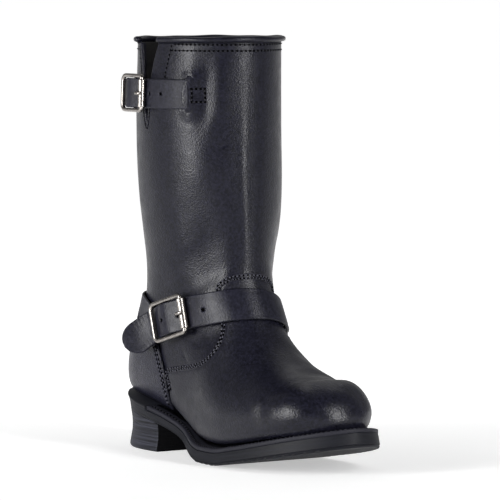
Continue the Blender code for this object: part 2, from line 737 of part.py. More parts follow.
def boot_stations(plane, table, half_width):
    """Middle and across direction of a strap where it lies on the boot."""
    angles = np.array([t.angle for t in table], float)
    lift = np.array([t.lift for t in table], float)
    rise = half_width * math.sqrt(1 + plane.slope**2)
    middle = plane.height - np.array([t.drop for t in table], float)
    top_row = row_on_plane(angles, middle + rise, plane.slope)
    low_row = row_on_plane(angles, middle - rise, plane.slope)
    top = skin(top_row, angles, lift)
    low = skin(low_row, angles, lift)
    across = top - low
    across /= np.linalg.norm(across, axis=1, keepdims=True)
    return np.concatenate([(top + low) / 2, across], 1)


def buckle_stations(buckle, table):
    """The same where the strap runs through its buckle."""
    e_along, e_across = buckle_axes(buckle)[1:3]
    rows = []
    for spot in table:
        lean = math.radians(spot.lean)
        way = e_across * math.cos(lean) + e_along * math.sin(lean)
        rows.append(np.concatenate([in_buckle(buckle, spot.along, spot.out, spot.across), way]))
    return np.array(rows)


def band(name, stations, half_width, thick, finish, tip=(), opening=None, step=7.0):
    """Flat strap along a path of stations, which its inner face follows; opening lets the prong by."""
    path = smooth_path(stations, step)
    middle = path[:, :3]
    along = np.gradient(middle, axis=0)
    along /= np.linalg.norm(along, axis=1, keepdims=True)
    out = np.cross(path[:, 3:6], along)
    out /= np.linalg.norm(out, axis=1, keepdims=True)
    across = np.cross(along, out)
    half = np.full(len(middle), half_width)
    if tip:
        run = np.concatenate([[0], np.cumsum(np.linalg.norm(np.diff(middle, axis=0), axis=1))])
        half = half_width * np.interp(run[-1] - run, [t.from_tip for t in tip], [t.share for t in tip])
    slot = np.minimum(PRONG_LANE, 0.3 * half)
    lanes = np.stack([-half, -slot, slot, half], 1)
    inside = middle[:, None] + across[:, None] * lanes[..., None]
    outside = inside + out[:, None] * thick

    def keep(i, j):
        if j != 1 or opening is None:
            return True
        spot = (middle[i] + middle[i + 1]) / 2
        return np.linalg.norm(spot - opening[0]) > opening[1]

    faces = grid_faces(len(middle), lanes.shape[1], keep)
    return closed_shell(name, outside.reshape(-1, 3), inside.reshape(-1, 3), faces, finish)


def build_straps(leather):
    instep = np.vstack([boot_stations(INSTEP_PLANE, INSTEP_ON_BOOT, INSTEP_PLANE.half_width),
                        buckle_stations(INSTEP_BUCKLE, INSTEP_IN_BUCKLE)])
    band("instep_strap", instep, INSTEP_PLANE.half_width, INSTEP_PLANE.thick, leather, INSTEP_TIP,
         (in_buckle(INSTEP_BUCKLE, 9.6, -1.6), 3.6), 6.0)
    top = np.vstack([boot_stations(TOP_PLANE, TOP_ON_BOOT, TOP_PLANE.half_width),
                     buckle_stations(TOP_BUCKLE, TOP_IN_BUCKLE)])
    band("top_strap", top, TOP_PLANE.half_width, TOP_PLANE.thick, leather, (),
         (in_buckle(TOP_BUCKLE, 7.4, -1.6), 3.4), 3.6)
    chapes = (
        ("instep_chape", INSTEP_CHAPE_PLANE, INSTEP_BUCKLE, INSTEP_CHAPE_TAIL, INSTEP_CHAPE_ON_BOOT),
        ("top_chape", TOP_CHAPE_PLANE, TOP_BUCKLE, TOP_CHAPE_TAIL, TOP_CHAPE_ON_BOOT),
    )
    for name, plane, buckle, tail, on_boot in chapes:
        half = plane.half_width
        loop = [InBuckle(a, o - buckle.drop, 0, 0) for a, o in CHAPE_LOOP]
        stations = np.vstack([buckle_stations(buckle, loop + tail), boot_stations(plane, on_boot, half)])
        band(name, stations, half, plane.thick, leather, (), (in_buckle(buckle, 0, -buckle.drop), 5.2), 10.0)


def rod(name, path, radius, finish, sides=8, closed=False):
    """Round bar along a path."""
    path = np.asarray(path, float)
    count = len(path)
    points = []
    if closed:
        along = np.roll(path, -1, 0) - np.roll(path, 1, 0)
    else:
        along = np.gradient(path, axis=0)
    along /= np.linalg.norm(along, axis=1, keepdims=True)
    normal = np.linalg.svd(path - path.mean(axis=0))[2][2]
    radius = np.broadcast_to(np.asarray(radius, float), (count,))
    for i in range(count):
        side = np.cross(along[i], normal)
        side /= np.linalg.norm(side)
        over = np.cross(side, along[i])
        for a in np.arange(sides) * 2 * math.pi / sides:
            points.append(path[i] + (side * math.cos(a) + over * math.sin(a)) * radius[i])
    faces = []
    for i in range(count if closed else count - 1):
        n = (i + 1) % count
        for j in range(sides):
            k = (j + 1) % sides
            faces.append((i * sides + j, i * sides + k, n * sides + k, n * sides + j))
    if not closed:
        faces.append(tuple(range(sides)))
        faces.append(tuple(range((count - 1) * sides, count * sides)))
    return add_object(name, points, faces, finish)


def build_buckle(prefix, buckle, finish):
    """Frame with its middle bar, loose roller on the front bar, and bent prong."""
    loop = []
    for side_a, side_b, start in ((1, 1, 0), (-1, 1, 90), (-1, -1, 180), (1, -1, 270)):
        for turn in np.radians(np.linspace(start, start + 90, 5)):
            along = side_a * (buckle.half_long - CORNER) + CORNER * math.cos(turn)
            across = side_b * (buckle.half_wide - CORNER) + CORNER * math.sin(turn)
            loop.append(in_buckle(buckle, along, 0.0, across))
    frame = rod(prefix + "_buckle_frame", loop, buckle.bar, finish, closed=True)
    reach = buckle.half_wide
    bends = [(0, -reach), (0.55, -reach + 0.4), (1, -reach + 2.0), (1, reach - 2.0),
             (0.55, reach - 0.4), (0, reach)]
    path = [in_buckle(buckle, 0.0, -buckle.drop * share, across) for share, across in bends]
    bar = rod(prefix + "_middle_bar", path, MIDDLE_BAR, finish)
    bar.hide_render = True
    bar.display_type = "WIRE"
    join = frame.modifiers.new("middle_bar", "BOOLEAN")
    join.operation = "UNION"
    join.solver = "EXACT"
    join.object = bar
    length = buckle.half_wide - CORNER - 0.4
    bore = buckle.bar + GAP
    sides = 18
    points = []
    for across, radius in ((-length, buckle.roller), (length, buckle.roller), (length, bore), (-length, bore)):
        for turn in np.arange(sides) * 2 * math.pi / sides:
            points.append(in_buckle(buckle, buckle.half_long + radius * math.cos(turn),
                                    radius * math.sin(turn), across))
    faces = []
    for ring in range(4):
        base = ring * sides
        after = (ring + 1) % 4 * sides
        for j in range(sides):
            k = (j + 1) % sides
            faces.append((base + j, base + k, after + k, after + j))
    add_object(prefix + "_roller", points, faces, finish)
    wrap = MIDDLE_BAR + GAP + PRONG_RADIUS
    path = []
    for turn in np.radians((185, 210, 235, 260, 285, 310, 335)):
        path.append(in_buckle(buckle, wrap * math.cos(turn), wrap * math.sin(turn) - buckle.drop))
    over = buckle.roller + GAP + PRONG_RADIUS
    share = buckle.half_long / 18.6
    for along, out in ((6.3 * share, -3.3), (9.4 * share, -1.3), (12.6 * share, 1.6),
                       (buckle.half_long - 2.2, over - 0.5), (buckle.half_long + 0.6, over),
                       (buckle.half_long + 3.6, over - 0.7)):
        path.append(in_buckle(buckle, along, out))
    path = smooth_path(path, 4.0)
    radius = np.full(len(path), PRONG_RADIUS)
    radius[-1] = PRONG_RADIUS * 0.7
    rod(prefix + "_prong", path, radius, finish)


def rest_on_floor(objects):
    """Put the boot's own box on the origin: middle in x and y, lowest point at zero."""
    low = Vector((1e9, 1e9, 1e9))
    high = -low
    for item in objects:
        if item.hide_render:
            continue
        for vertex in item.data.vertices:
            low = Vector(map(min, low, vertex.co))
            high = Vector(map(max, high, vertex.co))
    shift = Vector(((low.x + high.x) / 2, (low.y + high.y) / 2, low.z))
    for item in objects:
        for vertex in item.data.vertices:
            vertex.co -= shift


def main():
    for item in list(bpy.data.objects):
        bpy.data.objects.remove(item, do_unlink=True)
    leather = material("black_leather", BLACK_LEATHER, 0.45)
    strap_leather = material("strap_leather", BLACK_LEATHER, 0.5)
    rubber = material("black_rubber", BLACK_RUBBER, 0.6)
    board = material("insole_board", TAN_BOARD, 0.8)
    nickel = material("nickel_plate", NICKEL, 0.25, 1.0)
    build_outsole(rubber)
    build_heel(rubber)
    build_welt(strap_leather)
    build_insole(board)
    build_upper(leather)
    build_vamp(leather)
    build_counter(leather)
    build_collar(leather)
    build_straps(strap_leather)
    build_buckle("instep", INSTEP_BUCKLE, nickel)
    build_buckle("top", TOP_BUCKLE, nickel)
    rest_on_floor(list(bpy.data.objects))


main()
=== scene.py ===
import math

import bmesh
import bpy
import numpy as np
from mathutils import Matrix, Vector
from mathutils.bvhtree import BVHTree
from mathutils.kdtree import KDTree


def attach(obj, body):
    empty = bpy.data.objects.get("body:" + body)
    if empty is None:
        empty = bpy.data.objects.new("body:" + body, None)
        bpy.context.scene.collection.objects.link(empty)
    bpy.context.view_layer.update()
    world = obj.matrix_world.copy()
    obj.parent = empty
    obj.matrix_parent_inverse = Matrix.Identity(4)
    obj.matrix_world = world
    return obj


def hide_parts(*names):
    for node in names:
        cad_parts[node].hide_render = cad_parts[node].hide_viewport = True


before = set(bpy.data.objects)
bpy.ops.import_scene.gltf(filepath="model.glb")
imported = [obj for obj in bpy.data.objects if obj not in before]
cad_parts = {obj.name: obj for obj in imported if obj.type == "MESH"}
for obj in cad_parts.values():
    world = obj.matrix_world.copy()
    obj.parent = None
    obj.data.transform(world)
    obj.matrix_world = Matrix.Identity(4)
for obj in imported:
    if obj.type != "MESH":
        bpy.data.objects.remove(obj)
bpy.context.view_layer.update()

# the boot's own sizes, in mm: x from the heel's back to the toe, y to the inner side, z up
bootMiddle = np.array([150.264, -5.315, 0.0])    # the frame's origin
gap = 0.3               # air between pieces that lie on each other
wall = 2.4              # shaft leather and lining together
soleLong = 300.0
heelBreast = 78.0
leastHalf = 0.4         # half width left at the sole's two ends
mmPerDegree = 1.06      # along the shaft's skin
strapSlope = 0.225      # rise of the instep strap towards the toe
farFromEdge = 30.0      # edge distance of leather that has no cut edge near
# rows of stitches, mm in from the edge
vampSeams = (1.9, 4.4)
counterSeams = (2.2, 5.0)

# x, bottom, seat
soleSide = [
    (0, 36.6, 46.5), (36, 30.2, 40.5), (74, 23.6, 34.2), (98, 17.0, 26.8), (122, 8.0, 18.6),
    (142, 2.6, 14.8), (154, 0.0, 13.2), (174, 0.0, 13.4), (205, 4.4, 18.0), (232, 9.0, 23.4),
    (256, 13.6, 28.7), (280, 18.6, 34.0), (300, 23.0, 38.6),
]
# x, outer half, inner half
solePlan = [
    (0, 0, 0), (9, 22.2, 22), (24, 34.4, 34), (45, 41, 40.6), (72, 41.2, 40), (108, 37, 36),
    (144, 49.5, 40), (180, 53.7, 48.3), (204, 54.3, 52), (231, 51.6, 52.5), (258, 43.5, 46.3),
    (279, 31.5, 34.8), (294, 16.8, 18.9), (300, 0, 0),
]
# the last, toe to collar: backX, rise, frontX, frontZ, outer, inner, widest, low, top, centre
lastRows = [
    (284.8, 2.5, 284.8, 38.0, 0, 0, 0.45, 3.0, 2.0, 5.6),      # tip
    (281, 0, 286, 45.5, 13, 12.2, 0.50, 3.5, 2.0, 5.5),
    (274, 0, 283, 54.3, 24, 22, 0.46, 4.5, 2.1, 5.3),
    (264, 0, 275.5, 61.2, 33.5, 31, 0.42, 5.0, 2.2, 5.1),      # toe box
    (250, 0, 262, 67, 41.5, 38.5, 0.40, 5.0, 2.3, 4.9),
    (235, 0, 245.5, 70.8, 46.5, 43.5, 0.39, 5.0, 2.3, 4.6),
    (218, 0, 228.5, 73.6, 49.3, 46, 0.38, 5.0, 2.2, 4.2),
    (196, 0, 209.5, 80.3, 50, 46.5, 0.36, 5.0, 2.0, 3.6),      # ball
    (171, 0, 189, 92.6, 49, 44.5, 0.36, 5.0, 1.95, 3.0),
    (144, 0, 174.5, 107.8, 45, 41, 0.38, 5.0, 1.9, 2.3),       # instep
    (111, 0, 165, 123.5, 38.7, 39.5, 0.42, 4.5, 1.9, 1.7),
    (76, 0, 160.2, 138, 38, 41, 0.48, 4.0, 1.9, 1.2),
    (42, 0, 159.2, 151, 39, 42.5, 0.52, 4.0, 2.0, 0.9),        # heel seat
    (11.5, 0, 159.5, 162, 39, 44, 0.54, 3.2, 2.0, 0.7),
    (6, 20, 160, 173, 39.5, 46, 0.55, 2.6, 2.0, 0.5),
    (14, 42, 160.5, 185, 40.5, 47.5, 0.54, 2.2, 2.0, 0.3),
    (26.5, 66, 161, 199, 42.8, 49.5, 0.53, 2.1, 2.0, 0.2),
    (32.5, 96, 161.5, 217, 46.8, 51.5, 0.52, 2.0, 2.0, 0.1),   # ankle
    (32.5, 130, 162, 237, 51.3, 52.6, 0.51, 2.0, 2.0, 0),
    (30.5, 170, 162.3, 262, 54, 53.2, 0.50, 2.0, 2.0, 0),
    (28, 224, 162.5, 297, 55.3, 53.4, 0.50, 2.0, 2.0, 0),
    (28, 288, 162.5, 332, 53.5, 53.5, 0.50, 2.0, 2.0, 0),      # collar
]
topRow = len(lastRows) - 1


def monotone(xs, ys, query):
    xs = np.asarray(xs, float)
    ys = np.asarray(ys, float)
    step = np.diff(xs)
    slope = np.diff(ys) / step
    tangent = np.zeros_like(ys)
    before, after = slope[:-1], slope[1:]
    weightA = 2 * step[1:] + step[:-1]
    weightB = step[1:] + 2 * step[:-1]
    same = before * after > 0
    mean = (weightA + weightB) / (weightA / np.where(same, before, 1) + weightB / np.where(same, after, 1))
    tangent[1:-1] = np.where(same, mean, 0)
    tangent[0], tangent[-1] = slope[0], slope[-1]
    q = np.clip(np.asarray(query, float), xs[0], xs[-1])
    i = np.clip(np.searchsorted(xs, q, side="right") - 1, 0, len(xs) - 2)
    f = (q - xs[i]) / step[i]
    rise = ys[i + 1] - ys[i]
    start, end = tangent[i] * step[i], tangent[i + 1] * step[i]
    return ys[i] + f * start + f**2 * (3 * rise - 2 * start - end) + f**3 * (start + end - 2 * rise)


def column(table, k):
    return [row[k] for row in table]


def seat(x):
    return monotone(column(soleSide, 0), column(soleSide, 2), x)


def soleBottom(x):
    return monotone(column(soleSide, 0), column(soleSide, 1), x)


def swing(x):
    run = np.clip((np.asarray(x, float) - 60.0) / (soleLong - 60.0), 0, None)
    return 7.6 * run**1.3


def throughPoints(a, b, c, d, f):
    # smooth curve from b to c, with a before them and d after
    return 0.5 * (2 * b + (c - a) * f + (2 * a - 5 * b + 4 * c - d) * f**2
                  + (3 * b - a - 3 * c + d) * f**3)


def planSide(k):
    # one side of the sole's plan as a curve that is round at both ends
    side = [(row[0], row[k]) for row in solePlan]
    points = np.array([(side[1][0], -side[1][1])] + side + [(side[-2][0], -side[-2][1])], float)
    path = []
    for i in range(len(side) - 1):
        for f in np.linspace(0, 1, 40, endpoint=False):
            path.append(throughPoints(*points[i:i + 4], f))
    path.append(points[-2])
    path = np.array(path)
    order = np.argsort(path[:, 0], kind="stable")
    return path[order]


outerPlan, innerPlan = planSide(1), planSide(2)


def outerHalf(x):
    return np.interp(x, outerPlan[:, 0], outerPlan[:, 1])


def innerHalf(x):
    return np.interp(x, innerPlan[:, 0], innerPlan[:, 1])


def ease(x, start, end):
    f = np.clip((np.asarray(x, float) - start) / (end - start), 0, 1)
    return f * f * (3 - 2 * f)


def plateau(x, start, top, end, stop):
    # 0 up to start, 1 from top to end, 0 again from stop on
    return ease(x, start, top) * (1 - ease(x, end, stop))


def stepped(steps):
    # values from each start to the next one, at that start's own step
    pairs = zip(steps, steps[1:])
    return np.concatenate([np.arange(start, end, step) for (start, step), (end, _) in pairs])


def hump(x, middle, width):
    return np.exp(-((x - middle) / width) ** 2)


def quarterRound(distance, radius):
    # 0 at an edge, 1 at radius mm from it, as a quarter of a circle
    return np.sqrt(1 - (1 - np.clip(distance / radius, 0, 1)) ** 2)


def seamDip(distance, seams, deep, width):
    # leather drawn in along its rows of stitches
    return sum(deep * hump(distance, middle, width) for middle in seams)


def strapDent(p, height, width):
    # 1 under the middle of the instep strap
    return hump(height + strapSlope * p[..., 0], p[..., 2], width)


def lastTable():
    table = np.array(lastRows, float)
    table[:, 1] += seat(table[:, 0]) + gap
    table[0, 3] = table[0, 1]
    before = table[1].copy()
    before[:4] = table[1][[2, 3, 0, 1]]
    before[4:6] = -table[1][4:6]
    return np.vstack([before, table, 2 * table[-1] - table[-2]])


lastGrid = lastTable()


def form(row, angle):
    # angle 0 low or at the back, 90 outer side, 180 ridge or front, 270 inner side
    row, turn = np.broadcast_arrays(np.asarray(row, float), np.radians(np.asarray(angle, float)))
    i = np.clip(np.floor(row).astype(int), 0, topRow - 1)
    f = (row - i)[..., None]
    section = throughPoints(*(lastGrid[i + k] for k in range(4)), f)
    backX, backZ, frontX, frontZ, outer, inner, widest, low, top, centre = np.moveaxis(section, -1, 0)
    across, along = np.sin(turn), -np.cos(turn)
    power = np.where(along < 0, low, top)
    reach = (np.abs(across) ** power + np.abs(along) ** power) ** (-1 / power)
    y = centre - np.where(across > 0, outer, inner) * across * reach
    part = widest + np.where(along < 0, widest, 1 - widest) * along * reach
    x = backX + (frontX - backX) * part
    z = np.maximum(backZ + (frontZ - backZ) * part, seat(x) + gap)
    return np.stack([x, y, z], -1)


def unit(v):
    return v / (np.linalg.norm(v, axis=-1, keepdims=True) + 1e-12)


def skin(row, angle, lift=0.0):
    row, angle = np.broadcast_arrays(np.asarray(row, float), np.asarray(angle, float))
    near = np.clip(row, 0.06, topRow - 0.03)
    along = form(near + 0.03, angle) - form(near - 0.03, angle)
    around = form(near, angle + 0.6) - form(near, angle - 0.6)
    place = form(row, angle) + unit(np.cross(around, along)) * np.asarray(lift, float)[..., None]
    place[..., 2] = np.maximum(place[..., 2], seat(place[..., 0]) + gap)
    return place


def rowOnPlane(angle, height, slope, low=8.0, high=21.0):
    angle = np.asarray(angle, float)
    under, over = np.full(angle.shape, low), np.full(angle.shape, high)
    for _ in range(34):
        middle = (under + over) / 2
        p = form(middle, angle)
        below = p[..., 2] < height + slope * p[..., 0]
        under, over = np.where(below, middle, under), np.where(below, over, middle)
    return (under + over) / 2


def smoothPath(points, step):
    points = np.asarray(points, float)
    padded = np.vstack([2 * points[0] - points[1], points, 2 * points[-1] - points[-2]])
    path = []
    for i in range(len(points) - 1):
        pieces = max(1, int(round(np.linalg.norm((points[i + 1] - points[i])[:3]) / step)))
        for f in np.arange(pieces) / pieces:
            path.append(throughPoints(*padded[i:i + 4], f))
    path.append(points[-1])
    return np.array(path)


def lengthAlong(points):
    # mm from the line's start to each of its points
    return np.concatenate([[0], np.cumsum(np.linalg.norm(np.diff(points[:, :3], axis=0), axis=1))])


def evenPath(points, step):
    # the same line with its points step apart
    points = np.asarray(points, float)
    run = lengthAlong(points)
    spots = np.linspace(0, run[-1], max(2, int(round(run[-1] / step)) + 1))
    return np.stack([np.interp(spots, run, points[:, k]) for k in range(points.shape[1])], 1)


# mesh helpers

def layGrid(place, marks=None, bm=None):
    # a flat grid laid on the form: place holds its points line by line, marks numbers that go with them
    lines, columns = place.shape[:2]
    bm = bm or bmesh.new()
    spot = bm.verts.layers.int.get("spot") or bm.verts.layers.int.new("spot")
    marks = marks or {}
    layers = [(bm.verts.layers.float.new(key), np.ravel(values)) for key, values in marks.items()]
    made = bmesh.ops.create_grid(bm, x_segments=columns - 1, y_segments=lines - 1, size=1.0)["verts"]
    for i, (v, p) in enumerate(zip(made, place.reshape(-1, 3))):
        v.co = p
        v[spot] = i
        for layer, values in layers:
            v[layer] = values[i]
    return bm


def closeSeams(bm):
    # points that lie together become one: the seam of a tube, the tip of the toe
    bmesh.ops.remove_doubles(bm, verts=bm.verts, dist=0.002)


def closeEnds(bm):
    bmesh.ops.holes_fill(bm, edges=[e for e in bm.edges if e.is_boundary], sides=0)


def secondSkin(bm, inside, finish=0):
    # extruded off the first skin and laid on the inner side, with the rims between them
    made = bmesh.ops.extrude_face_region(bm, geom=bm.faces[:])["geom"]
    spot, edge = bm.verts.layers.int["spot"], bm.verts.layers.float.get("edgeDist")
    flat = inside.reshape(-1, 3)
    for part in made:
        if isinstance(part, bmesh.types.BMVert):
            part.co = flat[part[spot]]
            if edge:
                part[edge] = farFromEdge
        elif isinstance(part, bmesh.types.BMFace):
            part.material_index = finish


def intoScene(name, data):
    made = bpy.data.objects.new(name, data)
    bpy.context.scene.collection.objects.link(made)
    return made


def addPiece(name, bm, finish, node, turned=True):
    if turned:
        bmesh.ops.recalc_face_normals(bm, faces=bm.faces)
    bmesh.ops.translate(bm, vec=Vector(-bootMiddle), verts=bm.verts)
    bmesh.ops.scale(bm, vec=Vector((0.001, 0.001, 0.001)), verts=bm.verts)
    if "spot" in bm.verts.layers.int:
        bm.verts.layers.int.remove(bm.verts.layers.int["spot"])
    for face in bm.faces:
        face.smooth = True
    mesh = bpy.data.meshes.new(name)
    bm.to_mesh(mesh)
    bm.free()
    for one in finish:
        mesh.materials.append(one)
    piece = intoScene(name, mesh)
    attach(piece, "root")
    if node:
        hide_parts(node)
    return piece


def turnedTo(place, x, y, z):
    # matrix with its axes along x, y and z, as long as they are
    matrix = Matrix([x, y, z]).transposed().to_4x4()
    matrix.translation = place
    return matrix


def joined(place, along=False):
    # first column, or first line, again after the last
    return np.concatenate([place, place[:1]] if along else [place, place[:, :1]], 0 if along else 1)


def distanceTo(points, line):
    tree = KDTree(len(line))
    for i, p in enumerate(line):
        tree.insert(p, i)
    tree.balance()
    return np.array([tree.find(p)[2] for p in points])


def surfaceOf(piece):
    mesh = piece.data
    points = [tuple((np.array(v.co) * 1000) + bootMiddle) for v in mesh.vertices]
    return BVHTree.FromPolygons(points, [tuple(p.vertices) for p in mesh.polygons])


# material helpers

def tone(text):
    parts = [int(text[i:i + 2], 16) / 255 for i in (1, 3, 5)]
    return tuple(p / 12.92 if p <= 0.04045 else ((p + 0.055) / 1.055) ** 2.4 for p in parts) + (1.0,)


def newMaterial(name):
    made = bpy.data.materials.new(name)
    made.use_nodes = True
    return made, made.node_tree, made.node_tree.nodes["Principled BSDF"]


def addNode(tree, kind, settings=None, links=None):
    node = tree.nodes.new(kind)
    for key, value in (settings or {}).items():
        if isinstance(key, int) or key in node.inputs:
            node.inputs[key].default_value = value
        else:
            setattr(node, key, value)
    for key, source in (links or {}).items():
        tree.links.new(source, node.inputs[key])
    return node


def setInputs(shader, values):
    for key, value in values.items():
        shader.inputs[key].default_value = value


def linkInputs(tree, shader, sources):
    for key, source in sources.items():
        tree.links.new(source, shader.inputs[key])


def perMm(size):
    # texture scale for a pattern that repeats every size mm, object coordinates being metres
    return 1000.0 / size


def bootSpot(tree):
    return addNode(tree, "ShaderNodeTexCoord").outputs["Object"]


def pointMark(tree, name):
    # a number that the mesh carries at its points
    return addNode(tree, "ShaderNodeAttribute", {"attribute_name": name}).outputs["Fac"]


def noise(tree, spot, size, detail=2.0):
    settings = {"Scale": perMm(size), "Detail": detail}
    return addNode(tree, "ShaderNodeTexNoise", settings, {"Vector": spot}).outputs[0]


def ranged(tree, value, settings):
    return addNode(tree, "ShaderNodeMapRange", settings, {"Value": value}).outputs[0]


def mixedTone(tree, share, dark, light):
    settings = {"data_type": "RGBA", 6: tone(dark), 7: tone(light)}
    return addNode(tree, "ShaderNodeMix", settings, {0: share}).outputs[2]


def toneOver(tree, share, under, over):
    # one tone laid over a colour, by share
    settings = {"data_type": "RGBA", 7: tone(over)}
    return addNode(tree, "ShaderNodeMix", settings, {0: share, 6: under}).outputs[2]


def bumped(tree, height, distanceMm, strength, normal=None, sunk=False):
    settings = {"Distance": distanceMm * 0.001, "Strength": strength, "invert": sunk}
    node = addNode(tree, "ShaderNodeBump", settings, {"Height": height})
    if normal is not None:
        tree.links.new(normal, node.inputs["Normal"])
    return node.outputs["Normal"]


def channel(tree, distance, middle, half):
    # 1 in the middle of a stitch channel, 0 outside it
    off = addNode(tree, "ShaderNodeMath", {"operation": "SUBTRACT", 1: middle}, {0: distance})
    size = addNode(tree, "ShaderNodeMath", {"operation": "ABSOLUTE"}, {0: off.outputs[0]})
    return ranged(tree, size.outputs[0],
                  {"interpolation_type": "SMOOTHSTEP", "From Max": half, "To Min": 1.0, "To Max": 0.0})


# oiled black leather: a soft grey sheen with a faint violet cast, fine pebble only where light rakes
def blackLeather(name, look):
    made, tree, shader = newMaterial(name)
    setInputs(shader, {"Specular IOR Level": look["specular"]})
    spot = bootSpot(tree)
    edge = pointMark(tree, "edgeDist")
    # small specks among slow blotches, then the cut edge's tone, a painted highlight on the vamp and painted
    # shade on the counter, then painted shade in punched holes
    speck = ranged(tree, noise(tree, spot, 2.2), {"From Min": 0.36, "From Max": 0.64})
    share = addNode(tree, "ShaderNodeMix", {"data_type": "FLOAT", 0: 0.35},
                    {2: speck, 3: noise(tree, spot, 38, 3.0)})
    colour = mixedTone(tree, share.outputs[0], look["dark"], look["light"])
    # the cut edge's tone: the raw edge, with a painted highlight on the vamp and painted shade on the
    # counter
    edgeToneAndPaintedLight = ranged(tree, edge, {"interpolation_type": "SMOOTHSTEP", "From Min": 0.05, "From Max": 0.9,
                              "To Min": 1.0, "To Max": 0.0})
    colour = toneOver(tree, edgeToneAndPaintedLight, colour, look["edge"])
    # punched holes: painted shade, near black where the hole's recess is in shade
    colour = toneOver(tree, pointMark(tree, "holeShade"), colour, "#020203")
    # unevenly worn, and smoother towards the toe where it is polished
    worn = ranged(tree, noise(tree, spot, 9, 4.0), {"From Min": 0.3, "From Max": 0.7,
                                                    "To Min": look["rough"] - 0.05,
                                                    "To Max": look["rough"] + 0.07})
    apart = addNode(tree, "ShaderNodeSeparateXYZ", None, {0: spot})
    polish = ranged(tree, apart.outputs[0], {"interpolation_type": "SMOOTHSTEP", "From Min": 0.05,
                                             "From Max": 0.105, "To Max": -look["polish"]})
    rough = addNode(tree, "ShaderNodeMath", {"operation": "ADD"}, {0: worn, 1: polish})
    pebble = addNode(tree, "ShaderNodeTexVoronoi", {"Scale": perMm(look["grain"])}, {"Vector": spot})
    normal = bumped(tree, noise(tree, spot, 3.2, 3.0), look["soft"], 0.5)
    normal = bumped(tree, pebble.outputs["Distance"], look["deep"], 0.5, normal)
    for middle in look["rows"]:
        normal = bumped(tree, channel(tree, edge, middle, 0.9), 0.2, 0.7, normal, True)
    linkInputs(tree, shader, {"Base Color": colour, "Roughness": rough.outputs[0], "Normal": normal})
    return made


leatherLook = {"dark": "#05050b", "light": "#191924", "edge": "#1f1f2a", "rough": 0.33, "specular": 0.19,
               "grain": 1.3, "deep": 0.27, "soft": 0.2, "polish": 0.0, "rows": ()}
# vamp: its light edge tone is partly the raw cut edge and partly a painted highlight where the edge catches
# light
vampLook = dict(leatherLook, edge="#3c3c46", rough=0.37, specular=0.25, polish=0.06, rows=vampSeams)
# counter: its near black edge tone is painted shade, the line of shadow along its edge
counterLook = dict(leatherLook, dark="#0a0a13", light="#252532", edge="#060608", deep=0.6,
                   rows=counterSeams)
strapLook = dict(leatherLook, dark="#0a0a12", light="#1f1f2a", edge="#14141b", rough=0.38, deep=0.16,
                 soft=0.16)
weltLook = dict(leatherLook, dark="#1e1e27", light="#34343e", edge="#1e1e25", rough=0.6, specular=0.18,
                grain=1.6, deep=0.16)
shaftLeather = blackLeather("shaft_leather", leatherLook)
vampLeather = blackLeather("vamp_leather", vampLook)
counterLeather = blackLeather("counter_leather", counterLook)
strapLeather = blackLeather("strap_leather", strapLook)
topStrapLeather = blackLeather("top_strap_leather", dict(strapLook, rough=0.5, specular=0.2))
weltLeather = blackLeather("welt_leather", weltLook)


# black lining leather: flesh side in, quite matt
def liningLeather():
    made, tree, shader = newMaterial("lining_leather")
    setInputs(shader, {"Roughness": 0.8, "Specular IOR Level": 0.25})
    nap = noise(tree, bootSpot(tree), 1.4, 5.0)
    linkInputs(tree, shader, {"Base Color": mixedTone(tree, nap, "#0d0c0d", "#1c1b1c"),
                              "Normal": bumped(tree, nap, 0.15, 0.5)})
    return made


# buffed black rubber: trimmed edge with fine lines along it, dull grey where it was ground
def buffedRubber(name, look):
    made, tree, shader = newMaterial(name)
    setInputs(shader, {"Specular IOR Level": look["specular"]})
    spot = bootSpot(tree)
    apart = addNode(tree, "ShaderNodeSeparateXYZ", None, {0: spot})
    # noise drawn out along the edge: slow in x and y, fast up through the layers
    slow = perMm(70)
    drawn = addNode(tree, "ShaderNodeCombineXYZ")
    for k, (source, scale) in enumerate(((apart.outputs[0], slow), (apart.outputs[1], slow),
                                         (pointMark(tree, "layer"), 1.0 / look["lineMm"]))):
        scaled = addNode(tree, "ShaderNodeMath", {"operation": "MULTIPLY", 1: scale}, {0: source})
        tree.links.new(scaled.outputs[0], drawn.inputs[k])
    lines = addNode(tree, "ShaderNodeTexNoise", {"Scale": 1.0, "Detail": 3.0, "Roughness": 0.6},
                    {"Vector": drawn.outputs[0]}).outputs[0]
    share = ranged(tree, lines, {"From Min": 0.35, "From Max": 0.7})
    rough = ranged(tree, lines, {"To Min": look["rough"] - 0.08, "To Max": look["rough"] + 0.1})
    normal = bumped(tree, lines, look["deep"], 0.7)
    normal = bumped(tree, noise(tree, spot, 0.9, 3.0), 0.06, 0.5, normal)
    linkInputs(tree, shader, {"Base Color": mixedTone(tree, share, look["dark"], look["light"]),
                              "Roughness": rough, "Normal": normal})
    return made


rubberLook = {"dark": "#0a0b10", "light": "#15161d", "rough": 0.55, "lineMm": 1.2, "deep": 0.35,
              "specular": 0.17}
heelLook = dict(rubberLook, dark="#08090e", light="#33343d", lineMm=1.6, deep=0.5)
# the heel's breast: painted shade, near black dull rubber where the arch shades it
breastShadeLook = dict(rubberLook, dark="#030304", light="#060608", rough=0.8, specular=0.05)
soleRubber = buffedRubber("sole_rubber", rubberLook)
heelRubber = buffedRubber("heel_rubber", heelLook)
breastShadeRubber = buffedRubber("heel_breast_painted_shade", breastShadeLook)


